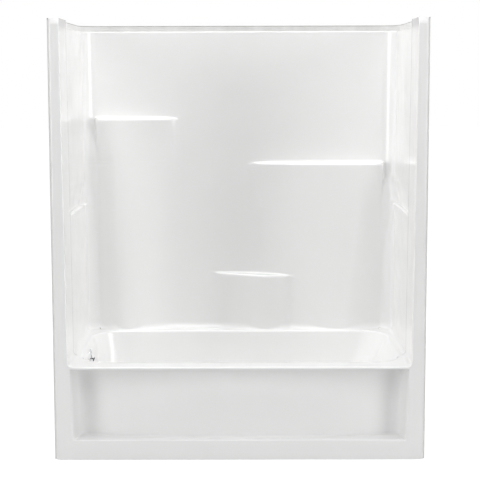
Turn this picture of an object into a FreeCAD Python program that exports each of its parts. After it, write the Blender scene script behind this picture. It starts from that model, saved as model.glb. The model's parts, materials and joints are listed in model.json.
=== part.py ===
import FreeCAD, Part
import os
from math import cos, pi, radians, sin
from FreeCAD import Vector

# One-piece tub and shower module with its bearers, backing boards and
# trip-lever waste and overflow set.
# Millimetres, +X to the right of a bather facing the unit, +Y into the alcove,
# +Z up. The origin is the middle of the box's base, on the floor.

# Whole unit
overall_width = 1524.0
overall_depth = 813.0
overall_height = 1803.0
skin = 5.0
overrun = 20.0
seat_gap = 0.3

# Front frame: jambs, toe band and the strip nailed to the studs
nailing_lip_width = 10.0
nailing_lip_setback = 12.0
toe_height = 82.0
jamb_edge_radius = 3.0

# Walls, which lean out a little towards the top
jamb_width_at_deck = 57.0
jamb_width_at_top = 47.0
back_wall_setback_at_deck = 28.0
back_wall_setback_at_top = 20.0
wall_corner_radius = 60.0
side_strip_depth = 206.0
side_step_run = 24.0
side_step = 8.0
deck_cove_radius = 26.0

# Nailing flange round the top
flange_height = 28.0
flange_drop = 2.0

# Deck, lip and well
deck_height = 389.0
lip_height = 10.0
lip_radius = 4.0
well_front_rim = 92.0
well_back_rim = 77.0
well_left_rim = 40.0
well_right_rim = 30.0
well_corner_radius = 120.0
well_edge_radius = 14.0
floor_height = 100.0
floor_fall_share = 0.01
floor_left_run = 47.0
floor_right_run = 155.0
floor_front_run = 48.0
floor_back_run = 53.0
floor_corner_radius = 110.0
floor_edge_radius = 60.0

# Recessed apron under the lip
apron_inset_at_lip = 11.0
apron_inset_at_toe = 20.0
apron_bevel_run = 28.0
apron_side_depth = 95.0
apron_middle_depth = 44.0

# Shelf columns on the back wall
shelf_reach = 69.0
shelf_lip_radius = 12.0
upper_shelf_inset = 33.0
upper_shelf_blunt_run = 132.0
upper_shelf_tail_run = 250.0
upper_shelf_height = 1369.0
right_shelf_inset = 31.0
right_shelf_blunt_run = 114.0
right_shelf_flat_run = 190.0
right_shelf_tail_run = 317.0
right_shelf_height = 1164.0
low_shelf_crest = 122.0
low_shelf_left_run = 255.0
low_shelf_right_run = 194.0
low_shelf_height = 654.0

# Pockets with a ledge in the side walls
ledge_height = 981.0
pocket_height = 70.0
pocket_depth = 22.0
pocket_front_depth = 236.0
pocket_back_inset = 63.0

# Timber and boards
board_thickness = 12.0
floor_board_left_inset = 62.0
floor_board_right_inset = 68.0
floor_board_side_inset = 69.5
drain_notch_half_width = 75.0
drain_notch_reach = 95.0
runner_width = 38.0
runner_end_inset = 47.5
runner_drain_gap = 160.0
runner_backrest_inset = 140.0
brace_width = 89.0
brace_thickness = 18.0
brace_spacing = 230.0
rear_leg_width = 38.0
rear_leg_depth = 40.0
rear_leg_gap = 25.0
rear_leg_corner_inset = 22.0
rear_leg_middle_x = -204.0
stiffener_width = 24.0
stiffener_depth = 25.0
stiffener_inset = 8.0
side_backer_front_depth = 245.0
backer_corner_gap = 65.0
backer_deck_gap = 51.0
backer_top_gap = 53.0
backer_pocket_gap = 25.0
backer_shelf_gap = 26.0
backer_column_gap = 20.0

# Overflow plate and trip lever
overflow_drop = 53.0
overflow_seat_inset = 1.0
overflow_seat_radius = 37.5
overflow_hole_radius = 28.0
plate_radius = 36.0
plate_flat_radius = 31.0
plate_rise = 8.0
plate_thickness = 1.5
plate_bulge_rise_share = 0.72
plate_bulge_reach_share = 0.75
lever_slot_height = 21.0
lever_slot_width = 9.0
screw_offset = 24.0
screw_radius = 2.4
screw_gap = 0.1
screw_head_radius = 4.6
screw_head_height = 2.6
screw_slot_width = 1.1
screw_slot_depth = 1.2
lever_pivot_setback = 4.0
lever_arm_length = 40.0
lever_swing = 20.0
lever_width = 7.0
lever_thickness = 4.0
lever_hub_radius = 6.0
lever_eye_radius = 6.2
lever_hook_radius = 3.2
lever_reach = 27.0
lever_tab_height = 17.0
lever_tab_width = 14.0
lever_tab_thickness = 4.5
lever_tab_round = 2.0
pin_radius = 1.6
pin_gap = 0.05
pin_head_radius = 2.8
pin_head_thickness = 1.0
ear_thickness = 1.5
ear_radius = 5.0
ear_gap = 0.4
spring_thickness = 0.8
spring_width = 6.0

# Overflow elbow and its gasket
gasket_thickness = 4.0
gasket_inner_radius = 28.6
elbow_flange_radius = 38.0
elbow_flange_thickness = 5.0
elbow_cavity_radius = 20.8
elbow_wall = 2.6
elbow_socket_length = 52.0
elbow_head_gap = 4.0

# Waste tubes
tube_radius = 19.05
tube_wall = 1.5
tube_fit = 0.15
socket_wall = 3.0
tube_entry = 16.0
slip_nut_across_flats = 52.0
slip_nut_length = 16.0
slip_nut_seat = 7.0
slip_washer_thickness = 3.0

# Waste tee
tee_branch_height = 57.0
tee_chamber_radius = 23.0
tee_wall = 3.0
tee_chamber_bottom = 30.0
tee_chamber_top = 84.0
tee_neck_top = 104.0
tee_branch_reach = 46.0
tee_outlet_bottom = 4.0
tee_throat_gap = 0.4

# Plunger and lift rod
plunger_radius = 16.2
plunger_height = 26.0
plunger_bottom = 43.0
plunger_edge = 3.0
rod_radius = 1.6
rod_play = 0.8
rod_nut_across_flats = 7.0
rod_nut_height = 4.0
rod_nut_gap = 6.0

# Drain flange, strainer and shoe
drain_inset = 145.0
drain_recess_radius = 38.0
drain_recess_depth = 3.0
drain_flange_radius = 36.5
drain_flange_thickness = 2.6
drain_body_radius = 22.0
drain_body_bore = 18.5
drain_body_length = 34.0
drain_hole_gap = 3.0
crossbar_width = 4.0
crossbar_height = 5.0
crossbar_drop = 9.0
strainer_radius = 25.0
strainer_thickness = 1.6
strainer_boss_radius = 5.0
strainer_hole_radius = 2.6
strainer_ring_shares = (0.42, 0.74)
strainer_ring_counts = (8, 14)
strainer_screw_radius = 2.0
strainer_screw_gap = 0.1
strainer_screw_bite = 6.0
strainer_head_radius = 3.6
strainer_head_height = 1.4
shoe_gasket_thickness = 4.0
shoe_flange_radius = 36.0
shoe_flange_thickness = 5.0
shoe_wall = 3.5
shoe_socket_reach = 44.0

# Places that follow from the sizes above
front_y = -overall_depth / 2
back_y = overall_depth / 2
wall_half_width_at_deck = overall_width / 2 - jamb_width_at_deck
wall_half_width_at_top = overall_width / 2 - jamb_width_at_top
back_wall_depth_at_deck = overall_depth - back_wall_setback_at_deck
back_wall_depth_at_top = overall_depth - back_wall_setback_at_top
flange_step = back_wall_setback_at_top - skin
well_front_depth = well_front_rim
well_back_depth = back_wall_depth_at_deck - well_back_rim
well_left_end = wall_half_width_at_deck - well_left_rim
well_right_end = wall_half_width_at_deck - well_right_rim
floor_left_end = well_left_end - floor_left_run
floor_right_end = well_right_end - floor_right_run
floor_front_depth = well_front_depth + floor_front_run
floor_back_depth = well_back_depth - floor_back_run
floor_half_depth = (floor_back_depth - floor_front_depth) / 2
apron_half_width_at_lip = wall_half_width_at_deck - apron_inset_at_lip
apron_half_width_at_toe = wall_half_width_at_deck - apron_inset_at_toe
column_front_depth = back_wall_depth_at_deck - shelf_reach
upper_shelf_blunt_end = upper_shelf_inset - wall_half_width_at_deck
upper_shelf_crest = upper_shelf_blunt_end + upper_shelf_blunt_run
upper_shelf_tip = upper_shelf_crest + upper_shelf_tail_run
right_shelf_blunt_end = wall_half_width_at_deck - right_shelf_inset
right_shelf_crest = right_shelf_blunt_end - right_shelf_blunt_run
right_shelf_far_crest = right_shelf_crest - right_shelf_flat_run
right_shelf_tip = right_shelf_far_crest - right_shelf_tail_run
low_shelf_left_tip = low_shelf_crest - low_shelf_left_run
low_shelf_right_tip = low_shelf_crest + low_shelf_right_run
pocket_back_depth = back_wall_depth_at_deck - pocket_back_inset
rear_leg_front_depth = well_back_depth + rear_leg_gap
rear_leg_corner_x = wall_half_width_at_deck - rear_leg_corner_inset
backer_half_length = wall_half_width_at_deck - backer_corner_gap
backer_low = deck_height + backer_deck_gap
backer_high = overall_height - backer_top_gap
overflow_height = deck_height - overflow_drop
overflow_seat = well_left_end - overflow_seat_inset
drain_distance = well_left_end - drain_inset
well_middle_depth = (well_front_depth + well_back_depth) / 2
well_middle_y = front_y + well_middle_depth
deck_underside = deck_height - skin
drain_x = -drain_distance
runner_drain_end_x = drain_x + runner_drain_gap
runner_backrest_end_x = floor_right_end - runner_backrest_inset
runner_middle_x = (runner_drain_end_x + runner_backrest_end_x) / 2
drain_floor = floor_height - drain_recess_depth
shoe_top = drain_floor - skin - shoe_gasket_thickness
overflow_face_x = -overflow_seat
overflow_back_x = overflow_face_x - skin
plate_face_x = overflow_face_x + plate_rise
pivot_x = overflow_face_x - lever_pivot_setback
swing = radians(lever_swing)
hook_height = overflow_height + lever_arm_length * sin(swing)
hook_x = pivot_x - lever_arm_length * (1 + cos(swing)) / 2
tube_x = hook_x
elbow_face_x = overflow_back_x - gasket_thickness


# Small helpers

def box(x_low, x_high, y_low, y_high, z_low, z_high):
    size = (x_high - x_low, y_high - y_low, z_high - z_low)
    return Part.makeBox(*size, Vector(x_low, y_low, z_low))


def rod_along(axis, radius, start, end):
    return Part.makeCylinder(radius, (end - start).dot(axis), start, axis)


def upright(radius, x, y, z_low, z_high):
    return rod_along(Vector(0, 0, 1), radius, Vector(x, y, z_low), Vector(x, y, z_high))


def along_x(radius, x_low, x_high, y, z):
    return rod_along(Vector(1, 0, 0), radius, Vector(x_low, y, z), Vector(x_high, y, z))


def along_y(radius, x, y_low, y_high, z):
    return rod_along(Vector(0, 1, 0), radius, Vector(x, y_low, z), Vector(x, y_high, z))


def prism(points, direction):
    return Part.Face(Part.makePolygon(points + points[:1])).extrude(direction)


def hexagon(across_flats, centre, axis, length):
    corner = across_flats / 2 / cos(pi / 6)
    side = Vector(0, 1, 0) if abs(axis.x) > 0 else Vector(1, 0, 0)
    other = axis.cross(side)
    turns = [pi / 3 * step for step in range(6)]
    points = [centre + side * (corner * cos(turn)) + other * (corner * sin(turn)) for turn in turns]
    return prism(points, axis * length)


def mirrored(shape):
    return shape.mirror(Vector(0, 0, 0), Vector(1, 0, 0))


def fuse_all(shapes):
    return shapes[0].fuse(shapes[1:]).removeSplitter()


def edges_where(shape, test):
    return [edge for edge in shape.Edges if test(edge)]


def near(value, target):
    return abs(value - target) < seat_gap / 10


def lies_at_height(edge, height):
    return near(edge.BoundBox.ZMin, height) and near(edge.BoundBox.ZMax, height)


def between(low, high, share):
    return low + (high - low) * share


def save(shape, name):
    shape.exportStep("parts/" + name + ".step")
    print(name, len(shape.Solids), "solids", round(shape.Volume / 1000), "cm3",
          "valid" if shape.isValid() else "NOT VALID")


# The open space in front of the moulding, grown by a margin.
# The moulding is the space grown by the skin, less the space itself.

def wall_half_width(height):
    share = (height - deck_height) / (overall_height - deck_height)
    return between(wall_half_width_at_deck, wall_half_width_at_top, share)


def back_wall_depth(height):
    share = (height - deck_height) / (overall_height - deck_height)
    return between(back_wall_depth_at_deck, back_wall_depth_at_top, share)


def alcove_outline(height, grow):
    strip = wall_half_width(height) + grow
    panel = strip + side_step
    back = front_y + back_wall_depth(height) + grow
    radius = wall_corner_radius + grow
    slant = radius * (1 - cos(pi / 4))
    step_front = front_y + side_strip_depth
    step_back = step_front + side_step_run
    right = [Vector(strip, front_y - overrun, height), Vector(strip, step_front, height),
             Vector(panel, step_back, height), Vector(panel, back - radius, height)]
    corner_middle = Vector(panel - slant, back - slant, height)
    corner_end = Vector(panel - radius, back, height)
    left = [Vector(-point.x, point.y, point.z) for point in right]
    edges = [Part.makeLine(left[0], right[0])]
    edges += [Part.makeLine(right[i], right[i + 1]) for i in range(3)]
    edges.append(Part.Arc(right[3], corner_middle, corner_end).toShape())
    left_end = Vector(-corner_end.x, corner_end.y, height)
    left_middle = Vector(-corner_middle.x, corner_middle.y, height)
    edges.append(Part.makeLine(corner_end, left_end))
    edges.append(Part.Arc(left_end, left_middle, left[3]).toShape())
    edges += [Part.makeLine(left[3 - i], left[2 - i]) for i in range(3)]
    return Part.Wire(edges)


def alcove_space(grow):
    bottom = deck_height - grow
    top = overall_height + overrun
    space = Part.makeLoft([alcove_outline(bottom, grow), alcove_outline(top, grow)], True, True)
    behind_step = front_y + side_strip_depth + side_step_run
    base = edges_where(space, lambda edge: lies_at_height(edge, bottom)
                       and edge.BoundBox.YMin > behind_step - side_step_run - overrun
                       and edge.BoundBox.YMax > behind_step + overrun)
    return space.makeFillet(deck_cove_radius + grow, base)


def flange_space(grow):
    behind_strip = front_y + side_strip_depth + side_step_run - grow
    low = overall_height - flange_drop - flange_height - grow
    top = overall_height + overrun
    outline = alcove_outline(overall_height, flange_step + grow)
    outline.translate(Vector(0, 0, low - overall_height))
    band = Part.Face(outline).extrude(Vector(0, 0, top - low))
    return band.common(box(-overall_width, overall_width, behind_strip, back_y + overrun, low, top))


def rounded_rectangle(left, right, front, back, radius, height_at):
    reach = radius * (1 - cos(pi / 4))
    corners = [((right - radius, front), (right - reach, front + reach), (right, front + radius)),
               ((right, back - radius), (right - reach, back - reach), (right - radius, back)),
               ((left + radius, back), (left + reach, back - reach), (left, back - radius)),
               ((left, front + radius), (left + reach, front + reach), (left + radius, front))]
    corners = [[Vector(x, y, height_at(x)) for x, y in corner] for corner in corners]
    edges = []
    for index, corner in enumerate(corners):
        edges.append(Part.Arc(*corner).toShape())
        edges.append(Part.makeLine(corner[2], corners[(index + 1) % 4][0]))
    return Part.Wire(edges)


def floor_at(x):
    return floor_height + (x - drain_x) * floor_fall_share


def well_outline(height, grow):
    share = (height - floor_height) / (deck_height - floor_height)
    left = -between(floor_left_end, well_left_end, share) - grow
    right = between(floor_right_end, well_right_end, share) + grow
    front = front_y + between(floor_front_depth, well_front_depth, share) - grow
    back = front_y + between(floor_back_depth, well_back_depth, share) + grow
    radius = between(floor_corner_radius, well_corner_radius, share) + grow
    return rounded_rectangle(left, right, front, back, radius, lambda x: height)


def well_space(grow):
    low = floor_height - overrun
    walls = Part.makeLoft([well_outline(low, grow), well_outline(deck_height + overrun, grow)], True, True)
    reach = overall_width
    left_low = floor_at(-reach) - grow
    right_low = floor_at(reach) - grow
    under = prism([Vector(-reach, -reach, left_low), Vector(reach, -reach, right_low),
                   Vector(reach, -reach, -reach), Vector(-reach, -reach, -reach)],
                  Vector(0, 2 * reach, 0))
    space = walls.cut(under)
    lowest = edges_where(space, lambda edge: edge.BoundBox.ZMax < floor_height + overrun)
    return space.makeFillet(floor_edge_radius + grow, lowest)


def crest_arc(crest, end):
    """Arc that leaves the crest along the wall and bends back to the end."""
    chord = end - crest
    radius = (chord.x ** 2 + chord.y ** 2) / (2 * chord.y)
    half_turn = abs(chord.x) / radius / 2
    side = 1 if chord.x > 0 else -1
    middle = crest + Vector(side * radius * sin(half_turn), radius * (1 - cos(half_turn)), 0)
    return Part.Arc(crest, middle, end).toShape()


def column_outline(first_end, first_crest, second_crest, second_end, shrink):
    """A shelf column seen from above: round from each end to a crest, straight between the crests."""
    side = 1 if second_end > first_end else -1
    wall = front_y + back_wall_depth_at_deck
    ridge = front_y + column_front_depth + shrink
    behind = back_y + overrun
    start = Vector(first_end + side * shrink, wall, 0)
    end = Vector(second_end - side * shrink, wall, 0)
    crests = [Vector(first_crest, ridge, 0), Vector(second_crest, ridge, 0)]
    start_behind = Vector(start.x, behind, 0)
    end_behind = Vector(end.x, behind, 0)
    edges = [crest_arc(crests[0], start), crest_arc(crests[1], end)]
    if first_crest != second_crest:
        edges.append(Part.makeLine(*crests))
    edges += [Part.makeLine(end, end_behind), Part.makeLine(end_behind, start_behind),
              Part.makeLine(start_behind, start)]
    return Part.Wire(Part.__sortEdges__(edges))


def shelf_column(outline, shelf, shrink):
    bottom = deck_height - overrun
    top = shelf - shrink
    face = Part.Face(outline)
    face.translate(Vector(0, 0, bottom))
    solid = face.extrude(Vector(0, 0, top - bottom))
    wall = front_y + back_wall_depth_at_deck
    rim = edges_where(solid, lambda edge: lies_at_height(edge, top)
                      and edge.BoundBox.YMax < wall + seat_gap)
    return solid.makeFillet(shelf_lip_radius - shrink, rim)


def shelf_columns(shrink):
    upper = column_outline(upper_shelf_blunt_end, upper_shelf_crest, upper_shelf_crest,
                           upper_shelf_tip, shrink)
    right = column_outline(right_shelf_blunt_end, right_shelf_crest, right_shelf_far_crest,
                           right_shelf_tip, shrink)
    low = column_outline(low_shelf_left_tip, low_shelf_crest, low_shelf_crest, low_shelf_right_tip,
                         shrink)
    return [shelf_column(upper, upper_shelf_height, shrink), shelf_column(right, right_shelf_height, shrink),
            shelf_column(low, low_shelf_height, shrink)]


def side_pocket(grow):
    half = wall_half_width(ledge_height) + side_step
    inside = half - overrun
    outside = half + pocket_depth + grow
    low = ledge_height - grow
    high = ledge_height + pocket_height + grow
    front = front_y + pocket_front_depth - grow
    length = pocket_back_depth - pocket_front_depth + 2 * grow
    return prism([Vector(inside, front, low), Vector(outside, front, low),
                  Vector(half + grow, front, high), Vector(inside, front, high)],
                 Vector(0, length, 0))


def front_space(grow):
    inner = overall_width / 2 - nailing_lip_width - grow
    outer = overall_width / 2 + overrun
    front = front_y - overrun
    middle = box(-inner - grow, inner + grow, front, front_y + grow, -overrun, overall_height + overrun)
    side = box(inner, outer, front, front_y + nailing_lip_setback + grow, -overrun,
               overall_height + overrun)
    return [middle, side, mirrored(side)]


def apron_outline(height, grow):
    share = (height - toe_height) / (deck_height - lip_height - toe_height)
    half = between(apron_half_width_at_toe, apron_half_width_at_lip, share) + grow
    inner = half - apron_bevel_run
    front = front_y - overrun
    side_y = front_y + apron_side_depth + grow
    middle = Vector(0, front_y + apron_middle_depth + grow, height)
    points = [Vector(-inner, side_y, height), Vector(-half, front_y, height), Vector(-half, front, height),
              Vector(half, front, height), Vector(half, front_y, height), Vector(inner, side_y, height)]
    edges = [Part.makeLine(points[i], points[i + 1]) for i in range(5)]
    edges.append(Part.Arc(points[5], middle, points[0]).toShape())
    return Part.Wire(edges)


def apron_space(grow):
    low = toe_height - grow
    high = deck_height - lip_height + grow
    return Part.makeLoft([apron_outline(low, grow), apron_outline(high, grow)], True, True)


def overflow_seat_space(grow):
    reach = overflow_face_x + well_corner_radius
    return along_x(overflow_seat_radius + grow, overflow_face_x - grow, reach, well_middle_y,
                   overflow_height)


def drain_seat_space(grow):
    low = drain_floor - grow
    return upright(drain_recess_radius + grow, drain_x, well_middle_y, low, floor_height + overrun)


def open_space(grow):
    room = alcove_space(grow).fuse(well_space(grow))
    deck = deck_height - grow
    rim = edges_where(room, lambda edge: lies_at_height(edge, deck)
                      and abs(edge.BoundBox.XMin) < well_right_end + 2 * grow
                      and abs(edge.BoundBox.XMax) < well_right_end + 2 * grow
                      and edge.BoundBox.YMin > front_y + overrun
                      and edge.BoundBox.YMax < front_y + well_back_depth + 2 * grow)
    room = room.makeFillet(well_edge_radius - grow, rim)
    room = room.cut(shelf_columns(grow))
    pocket = side_pocket(grow)
    parts = [flange_space(grow), apron_space(grow), overflow_seat_space(grow), drain_seat_space(grow),
             pocket, mirrored(pocket)] + front_space(grow)
    return room.fuse(parts)


# The moulding

def tub_shower_shell():
    shell = open_space(skin).cut(open_space(0))
    half = overall_width / 2
    shell = shell.common(box(-half, half, front_y, back_y, 0, overall_height))
    behind_strip = front_y + side_strip_depth + side_step_run
    shell = shell.cut(box(-half - overrun, half + overrun, behind_strip, back_y + overrun,
                          overall_height - flange_drop, overall_height + overrun))
    shell = shell.cut(along_x(overflow_hole_radius, overflow_back_x - overrun,
                              overflow_face_x + overrun, well_middle_y, overflow_height))
    shell = shell.cut(upright(drain_body_radius + drain_hole_gap, drain_x, well_middle_y,
                              floor_height - 2 * overrun, floor_height + overrun))
    rounding = jamb_rounding()
    shell = shell.cut([rounding, mirrored(rounding)])
    return shell.makeFillet(lip_radius, edges_where(shell, is_lip_edge))


def jamb_rounding():
    """What is cut off the square outer edge of the right jamb to round it."""
    outer = overall_width / 2 - nailing_lip_width
    inner = outer - jamb_edge_radius
    back = front_y + jamb_edge_radius
    corner = box(inner, outer + overrun, front_y - overrun, back, -overrun, overall_height + overrun)
    return corner.cut(upright(jamb_edge_radius, inner, back, -overrun, overall_height + overrun))


def lies_on_the_front(edge):
    return near(edge.BoundBox.YMin, front_y) and near(edge.BoundBox.YMax, front_y)


def is_lip_edge(edge):
    return lies_on_the_front(edge) and lies_at_height(edge, deck_height)


# Boards and bearers

def floor_board():
    reach = overall_width
    half_width = floor_half_depth - floor_board_side_inset
    top = skin
    bottom = skin + board_thickness
    slab = prism([Vector(-reach, 0, floor_at(-reach) - top), Vector(reach, 0, floor_at(reach) - top),
                  Vector(reach, 0, floor_at(reach) - bottom), Vector(-reach, 0, floor_at(-reach) - bottom)],
                 Vector(0, 2 * half_width, 0))
    slab.translate(Vector(0, well_middle_y - half_width, 0))
    board = slab.common(box(floor_board_left_inset - floor_left_end,
                            floor_right_end - floor_board_right_inset, front_y, back_y, 0, deck_height))
    notch = box(-overall_width, drain_x + drain_notch_reach, well_middle_y - drain_notch_half_width,
                well_middle_y + drain_notch_half_width, 0, deck_height)
    return board.cut(notch)


def runner(x):
    left = x - runner_width / 2
    right = x + runner_width / 2
    drop = skin + board_thickness
    section = [Vector(left, 0, 0), Vector(right, 0, 0), Vector(right, 0, floor_at(right) - drop),
               Vector(left, 0, floor_at(left) - drop)]
    half_length = floor_half_depth - runner_end_inset
    beam = prism(section, Vector(0, 2 * half_length, 0))
    beam.translate(Vector(0, well_middle_y - half_length, 0))
    return beam


def apron_depth(x):
    chord = apron_half_width_at_toe - apron_bevel_run
    bow = apron_side_depth - apron_middle_depth
    return apron_middle_depth + bow * (x / chord) ** 2


def apron_brace(x):
    outer = abs(x) + brace_width / 2
    front = front_y + apron_depth(outer) + skin + seat_gap
    return box(x - brace_width / 2, x + brace_width / 2, front, front + brace_thickness, 0, deck_underside)


def rear_leg(x):
    front = front_y + rear_leg_front_depth
    return box(x - rear_leg_width / 2, x + rear_leg_width / 2, front, front + rear_leg_depth, 0,
               deck_underside)


def jamb_stiffener():
    outer = overall_width / 2 - nailing_lip_width - skin - seat_gap
    front = front_y + skin
    return box(outer - stiffener_width, outer, front, front + stiffener_depth, 0,
               overall_height - stiffener_inset)


def backing_layer():
    """A board's thickness all round the outside of the plain walls."""
    low = deck_height + overrun
    outside = Part.makeLoft([alcove_outline(low, skin + board_thickness),
                             alcove_outline(overall_height, skin + board_thickness)], True, True)
    inside = Part.makeLoft([alcove_outline(low, skin), alcove_outline(overall_height, skin)], True, True)
    return outside.cut(inside)


def side_backer(low, high):
    behind = front_y + back_wall_depth_at_deck - backer_corner_gap
    wanted = box(0, overall_width, front_y + side_backer_front_depth, behind, low, high)
    return backing_layer().common(wanted)


def back_backer(left, right, low, high):
    wanted = box(left, right, front_y + back_wall_depth_at_deck, back_y, low, high)
    return backing_layer().common(wanted)


# Overflow plate and trip lever

def overflow_plate():
    def profile(inset):
        rim = plate_radius - inset
        flat = plate_flat_radius - inset
        rise = plate_rise - inset
        lean = plate_radius - plate_flat_radius
        bulge = Vector(rise * plate_bulge_rise_share, 0, flat + lean * plate_bulge_reach_share)
        face = [Part.makeLine(Vector(0, 0, 0), Vector(rise, 0, 0)),
                Part.makeLine(Vector(rise, 0, 0), Vector(rise, 0, flat)),
                Part.Arc(Vector(rise, 0, flat), bulge, Vector(0, 0, rim)).toShape(),
                Part.makeLine(Vector(0, 0, rim), Vector(0, 0, 0))]
        return Part.Face(Part.Wire(face)).revolve(Vector(0, 0, 0), Vector(1, 0, 0), 360)

    plate = profile(0).cut(profile(plate_thickness))
    plate.translate(Vector(overflow_face_x, well_middle_y, overflow_height))
    slot = box(plate_face_x - plate_rise / 2, plate_face_x + overrun,
               well_middle_y - lever_slot_width / 2, well_middle_y + lever_slot_width / 2,
               overflow_height - lever_slot_height / 2, overflow_height + lever_slot_height / 2)
    plate = plate.cut(slot)
    for side in (-1, 1):
        plate = plate.cut(along_x(screw_radius + screw_gap, overflow_face_x, plate_face_x + overrun,
                                  well_middle_y, overflow_height + side * screw_offset))
    for side in (-1, 1):
        inner = lever_width / 2 + ear_gap
        y_low = well_middle_y + side * inner - (ear_thickness if side < 0 else 0)
        root = plate_face_x - plate_thickness
        ear = along_y(ear_radius, pivot_x, y_low, y_low + ear_thickness, overflow_height)
        ear = ear.fuse(box(pivot_x, root, y_low, y_low + ear_thickness,
                           overflow_height - ear_radius, overflow_height + ear_radius))
        ear = ear.cut(along_y(pin_radius + pin_gap, pivot_x, y_low, y_low + ear_thickness,
                              overflow_height))
        plate = plate.fuse(ear)
    return plate.removeSplitter()


def plate_screws():
    screws = []
    for side in (-1, 1):
        z = overflow_height + side * screw_offset
        tip = elbow_face_x - elbow_flange_thickness
        shank = along_x(screw_radius, tip, plate_face_x, well_middle_y, z)
        head = along_x(screw_head_radius, plate_face_x, plate_face_x + screw_head_height,
                       well_middle_y, z)
        rim = edges_where(head, lambda edge: near(edge.BoundBox.XMin, plate_face_x + screw_head_height)
                          and near(edge.BoundBox.XMax, plate_face_x + screw_head_height))
        head = head.makeFillet(screw_head_height / 2, rim)
        slot = box(plate_face_x + screw_head_height - screw_slot_depth, plate_face_x + overrun,
                   well_middle_y - screw_head_radius, well_middle_y + screw_head_radius,
                   z - screw_slot_width / 2, z + screw_slot_width / 2)
        screws.append(shank.fuse(head).cut(slot).removeSplitter())
    return Part.makeCompound(screws)


def trip_lever():
    """Made level with its pivot at the origin, then swung down at the handle and set in place."""
    half = lever_width / 2
    eye = Vector(-lever_arm_length, -half, 0)
    across = Vector(0, 1, 0)
    blade = box(-lever_arm_length, lever_reach, -half, half, -lever_thickness / 2, lever_thickness / 2)
    hub = Part.makeCylinder(lever_hub_radius, lever_width, Vector(0, -half, 0), across)
    ring = Part.makeCylinder(lever_eye_radius, lever_width, eye, across)
    tab = box(lever_reach - lever_tab_thickness, lever_reach, -lever_tab_width / 2, lever_tab_width / 2,
              -lever_tab_height / 2, lever_tab_height / 2)
    tab = tab.makeFillet(lever_tab_round, tab.Edges)
    lever = fuse_all([blade, hub, ring, tab])
    lever = lever.cut(Part.makeCylinder(pin_radius + pin_gap, lever_width, Vector(0, -half, 0), across))
    lever = lever.cut(Part.makeCylinder(lever_hook_radius, lever_width, eye, across))
    lever.rotate(Vector(0, 0, 0), across, lever_swing)
    lever.translate(Vector(pivot_x, well_middle_y, overflow_height))
    return lever


def lever_pin():
    half = lever_width / 2 + ear_gap + ear_thickness
    low = well_middle_y - half
    high = well_middle_y + half
    pin = along_y(pin_radius, pivot_x, low, high, overflow_height)
    heads = [along_y(pin_head_radius, pivot_x, low - pin_head_thickness, low, overflow_height),
             along_y(pin_head_radius, pivot_x, high, high + pin_head_thickness, overflow_height)]
    return fuse_all([pin] + heads)


def lever_spring():
    """Leaf on the back of the plate that presses on the lever's hub."""
    low = overflow_height + lever_hub_radius + seat_gap
    root = plate_face_x - plate_thickness
    tip = pivot_x - lever_hub_radius
    foot_top = overflow_height + screw_offset - screw_radius - 2 * seat_gap
    leaf = box(tip, root, well_middle_y - spring_width / 2, well_middle_y + spring_width / 2,
               low, low + spring_thickness)
    foot = box(root - spring_thickness, root, well_middle_y - spring_width / 2,
               well_middle_y + spring_width / 2, low, foot_top)
    return leaf.fuse(foot).removeSplitter()


# Overflow elbow

def ring_along_x(outer, inner, x_low, x_high, y, z):
    return along_x(outer, x_low, x_high, y, z).cut(along_x(inner, x_low, x_high, y, z))


def with_screw_holes(shape, radius):
    for side in (-1, 1):
        shape = shape.cut(along_x(radius, elbow_face_x - overrun, overflow_face_x, well_middle_y,
                                  overflow_height + side * screw_offset))
    return shape


def overflow_gasket():
    return ring_along_x(elbow_flange_radius, gasket_inner_radius, elbow_face_x, overflow_back_x,
                        well_middle_y, overflow_height)


def overflow_elbow():
    y = well_middle_y
    z = overflow_height
    head_radius = elbow_cavity_radius + elbow_wall
    cavity_end = tube_x - elbow_cavity_radius - elbow_head_gap / 2
    socket_radius = tube_radius + tube_fit
    flange = along_x(elbow_flange_radius, elbow_face_x - elbow_flange_thickness, elbow_face_x, y, z)
    head = along_x(head_radius, cavity_end - elbow_wall, elbow_face_x, y, z)
    drop = upright(socket_radius + socket_wall, tube_x, y, z - elbow_socket_length, z)
    cavity = along_x(elbow_cavity_radius, cavity_end, elbow_face_x + overrun, y, z)
    passage = upright(tube_radius - tube_wall, tube_x, y, z - elbow_socket_length, z)
    socket = upright(socket_radius, tube_x, y, z - elbow_socket_length,
                     z - elbow_socket_length + tube_entry)
    elbow = fuse_all([flange, head, drop]).cut([cavity, passage, socket])
    return with_screw_holes(elbow, screw_radius + screw_gap)


# Tubes with slip joints

def tube_upright(x, y, low, high):
    return upright(tube_radius, x, y, low, high).cut(upright(tube_radius - tube_wall, x, y, low, high))


def overflow_tube():
    return tube_upright(tube_x, well_middle_y, tee_neck_top - tube_entry,
                        overflow_height - elbow_socket_length + tube_entry)


def slip_joint(mouth, outward):
    """Nut round a socket's mouth, and the washer that it squeezes on the tube."""
    socket_outer = tube_radius + tube_fit + socket_wall
    back = mouth - outward * slip_nut_seat
    body = hexagon(slip_nut_across_flats, back, outward, slip_nut_length)
    washer_end = slip_nut_seat + slip_washer_thickness
    bore = Part.makeCylinder(socket_outer + seat_gap, washer_end, back, outward)
    throat = Part.makeCylinder(tube_radius + tube_fit, slip_nut_length, back, outward)
    washer = Part.makeCylinder(socket_outer, slip_washer_thickness, mouth, outward)
    washer = washer.cut(Part.makeCylinder(tube_radius + tube_fit, slip_washer_thickness, mouth, outward))
    return body.cut([bore, throat]), washer


def slip_joints():
    y = well_middle_y
    elbow = slip_joint(Vector(tube_x, y, overflow_height - elbow_socket_length), Vector(0, 0, -1))
    tee = slip_joint(Vector(tube_x, y, tee_neck_top), Vector(0, 0, 1))
    arm = slip_joint(Vector(tube_x + tee_branch_reach, y, tee_branch_height), Vector(1, 0, 0))
    return {"elbow": elbow, "tee": tee, "arm": arm}


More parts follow.
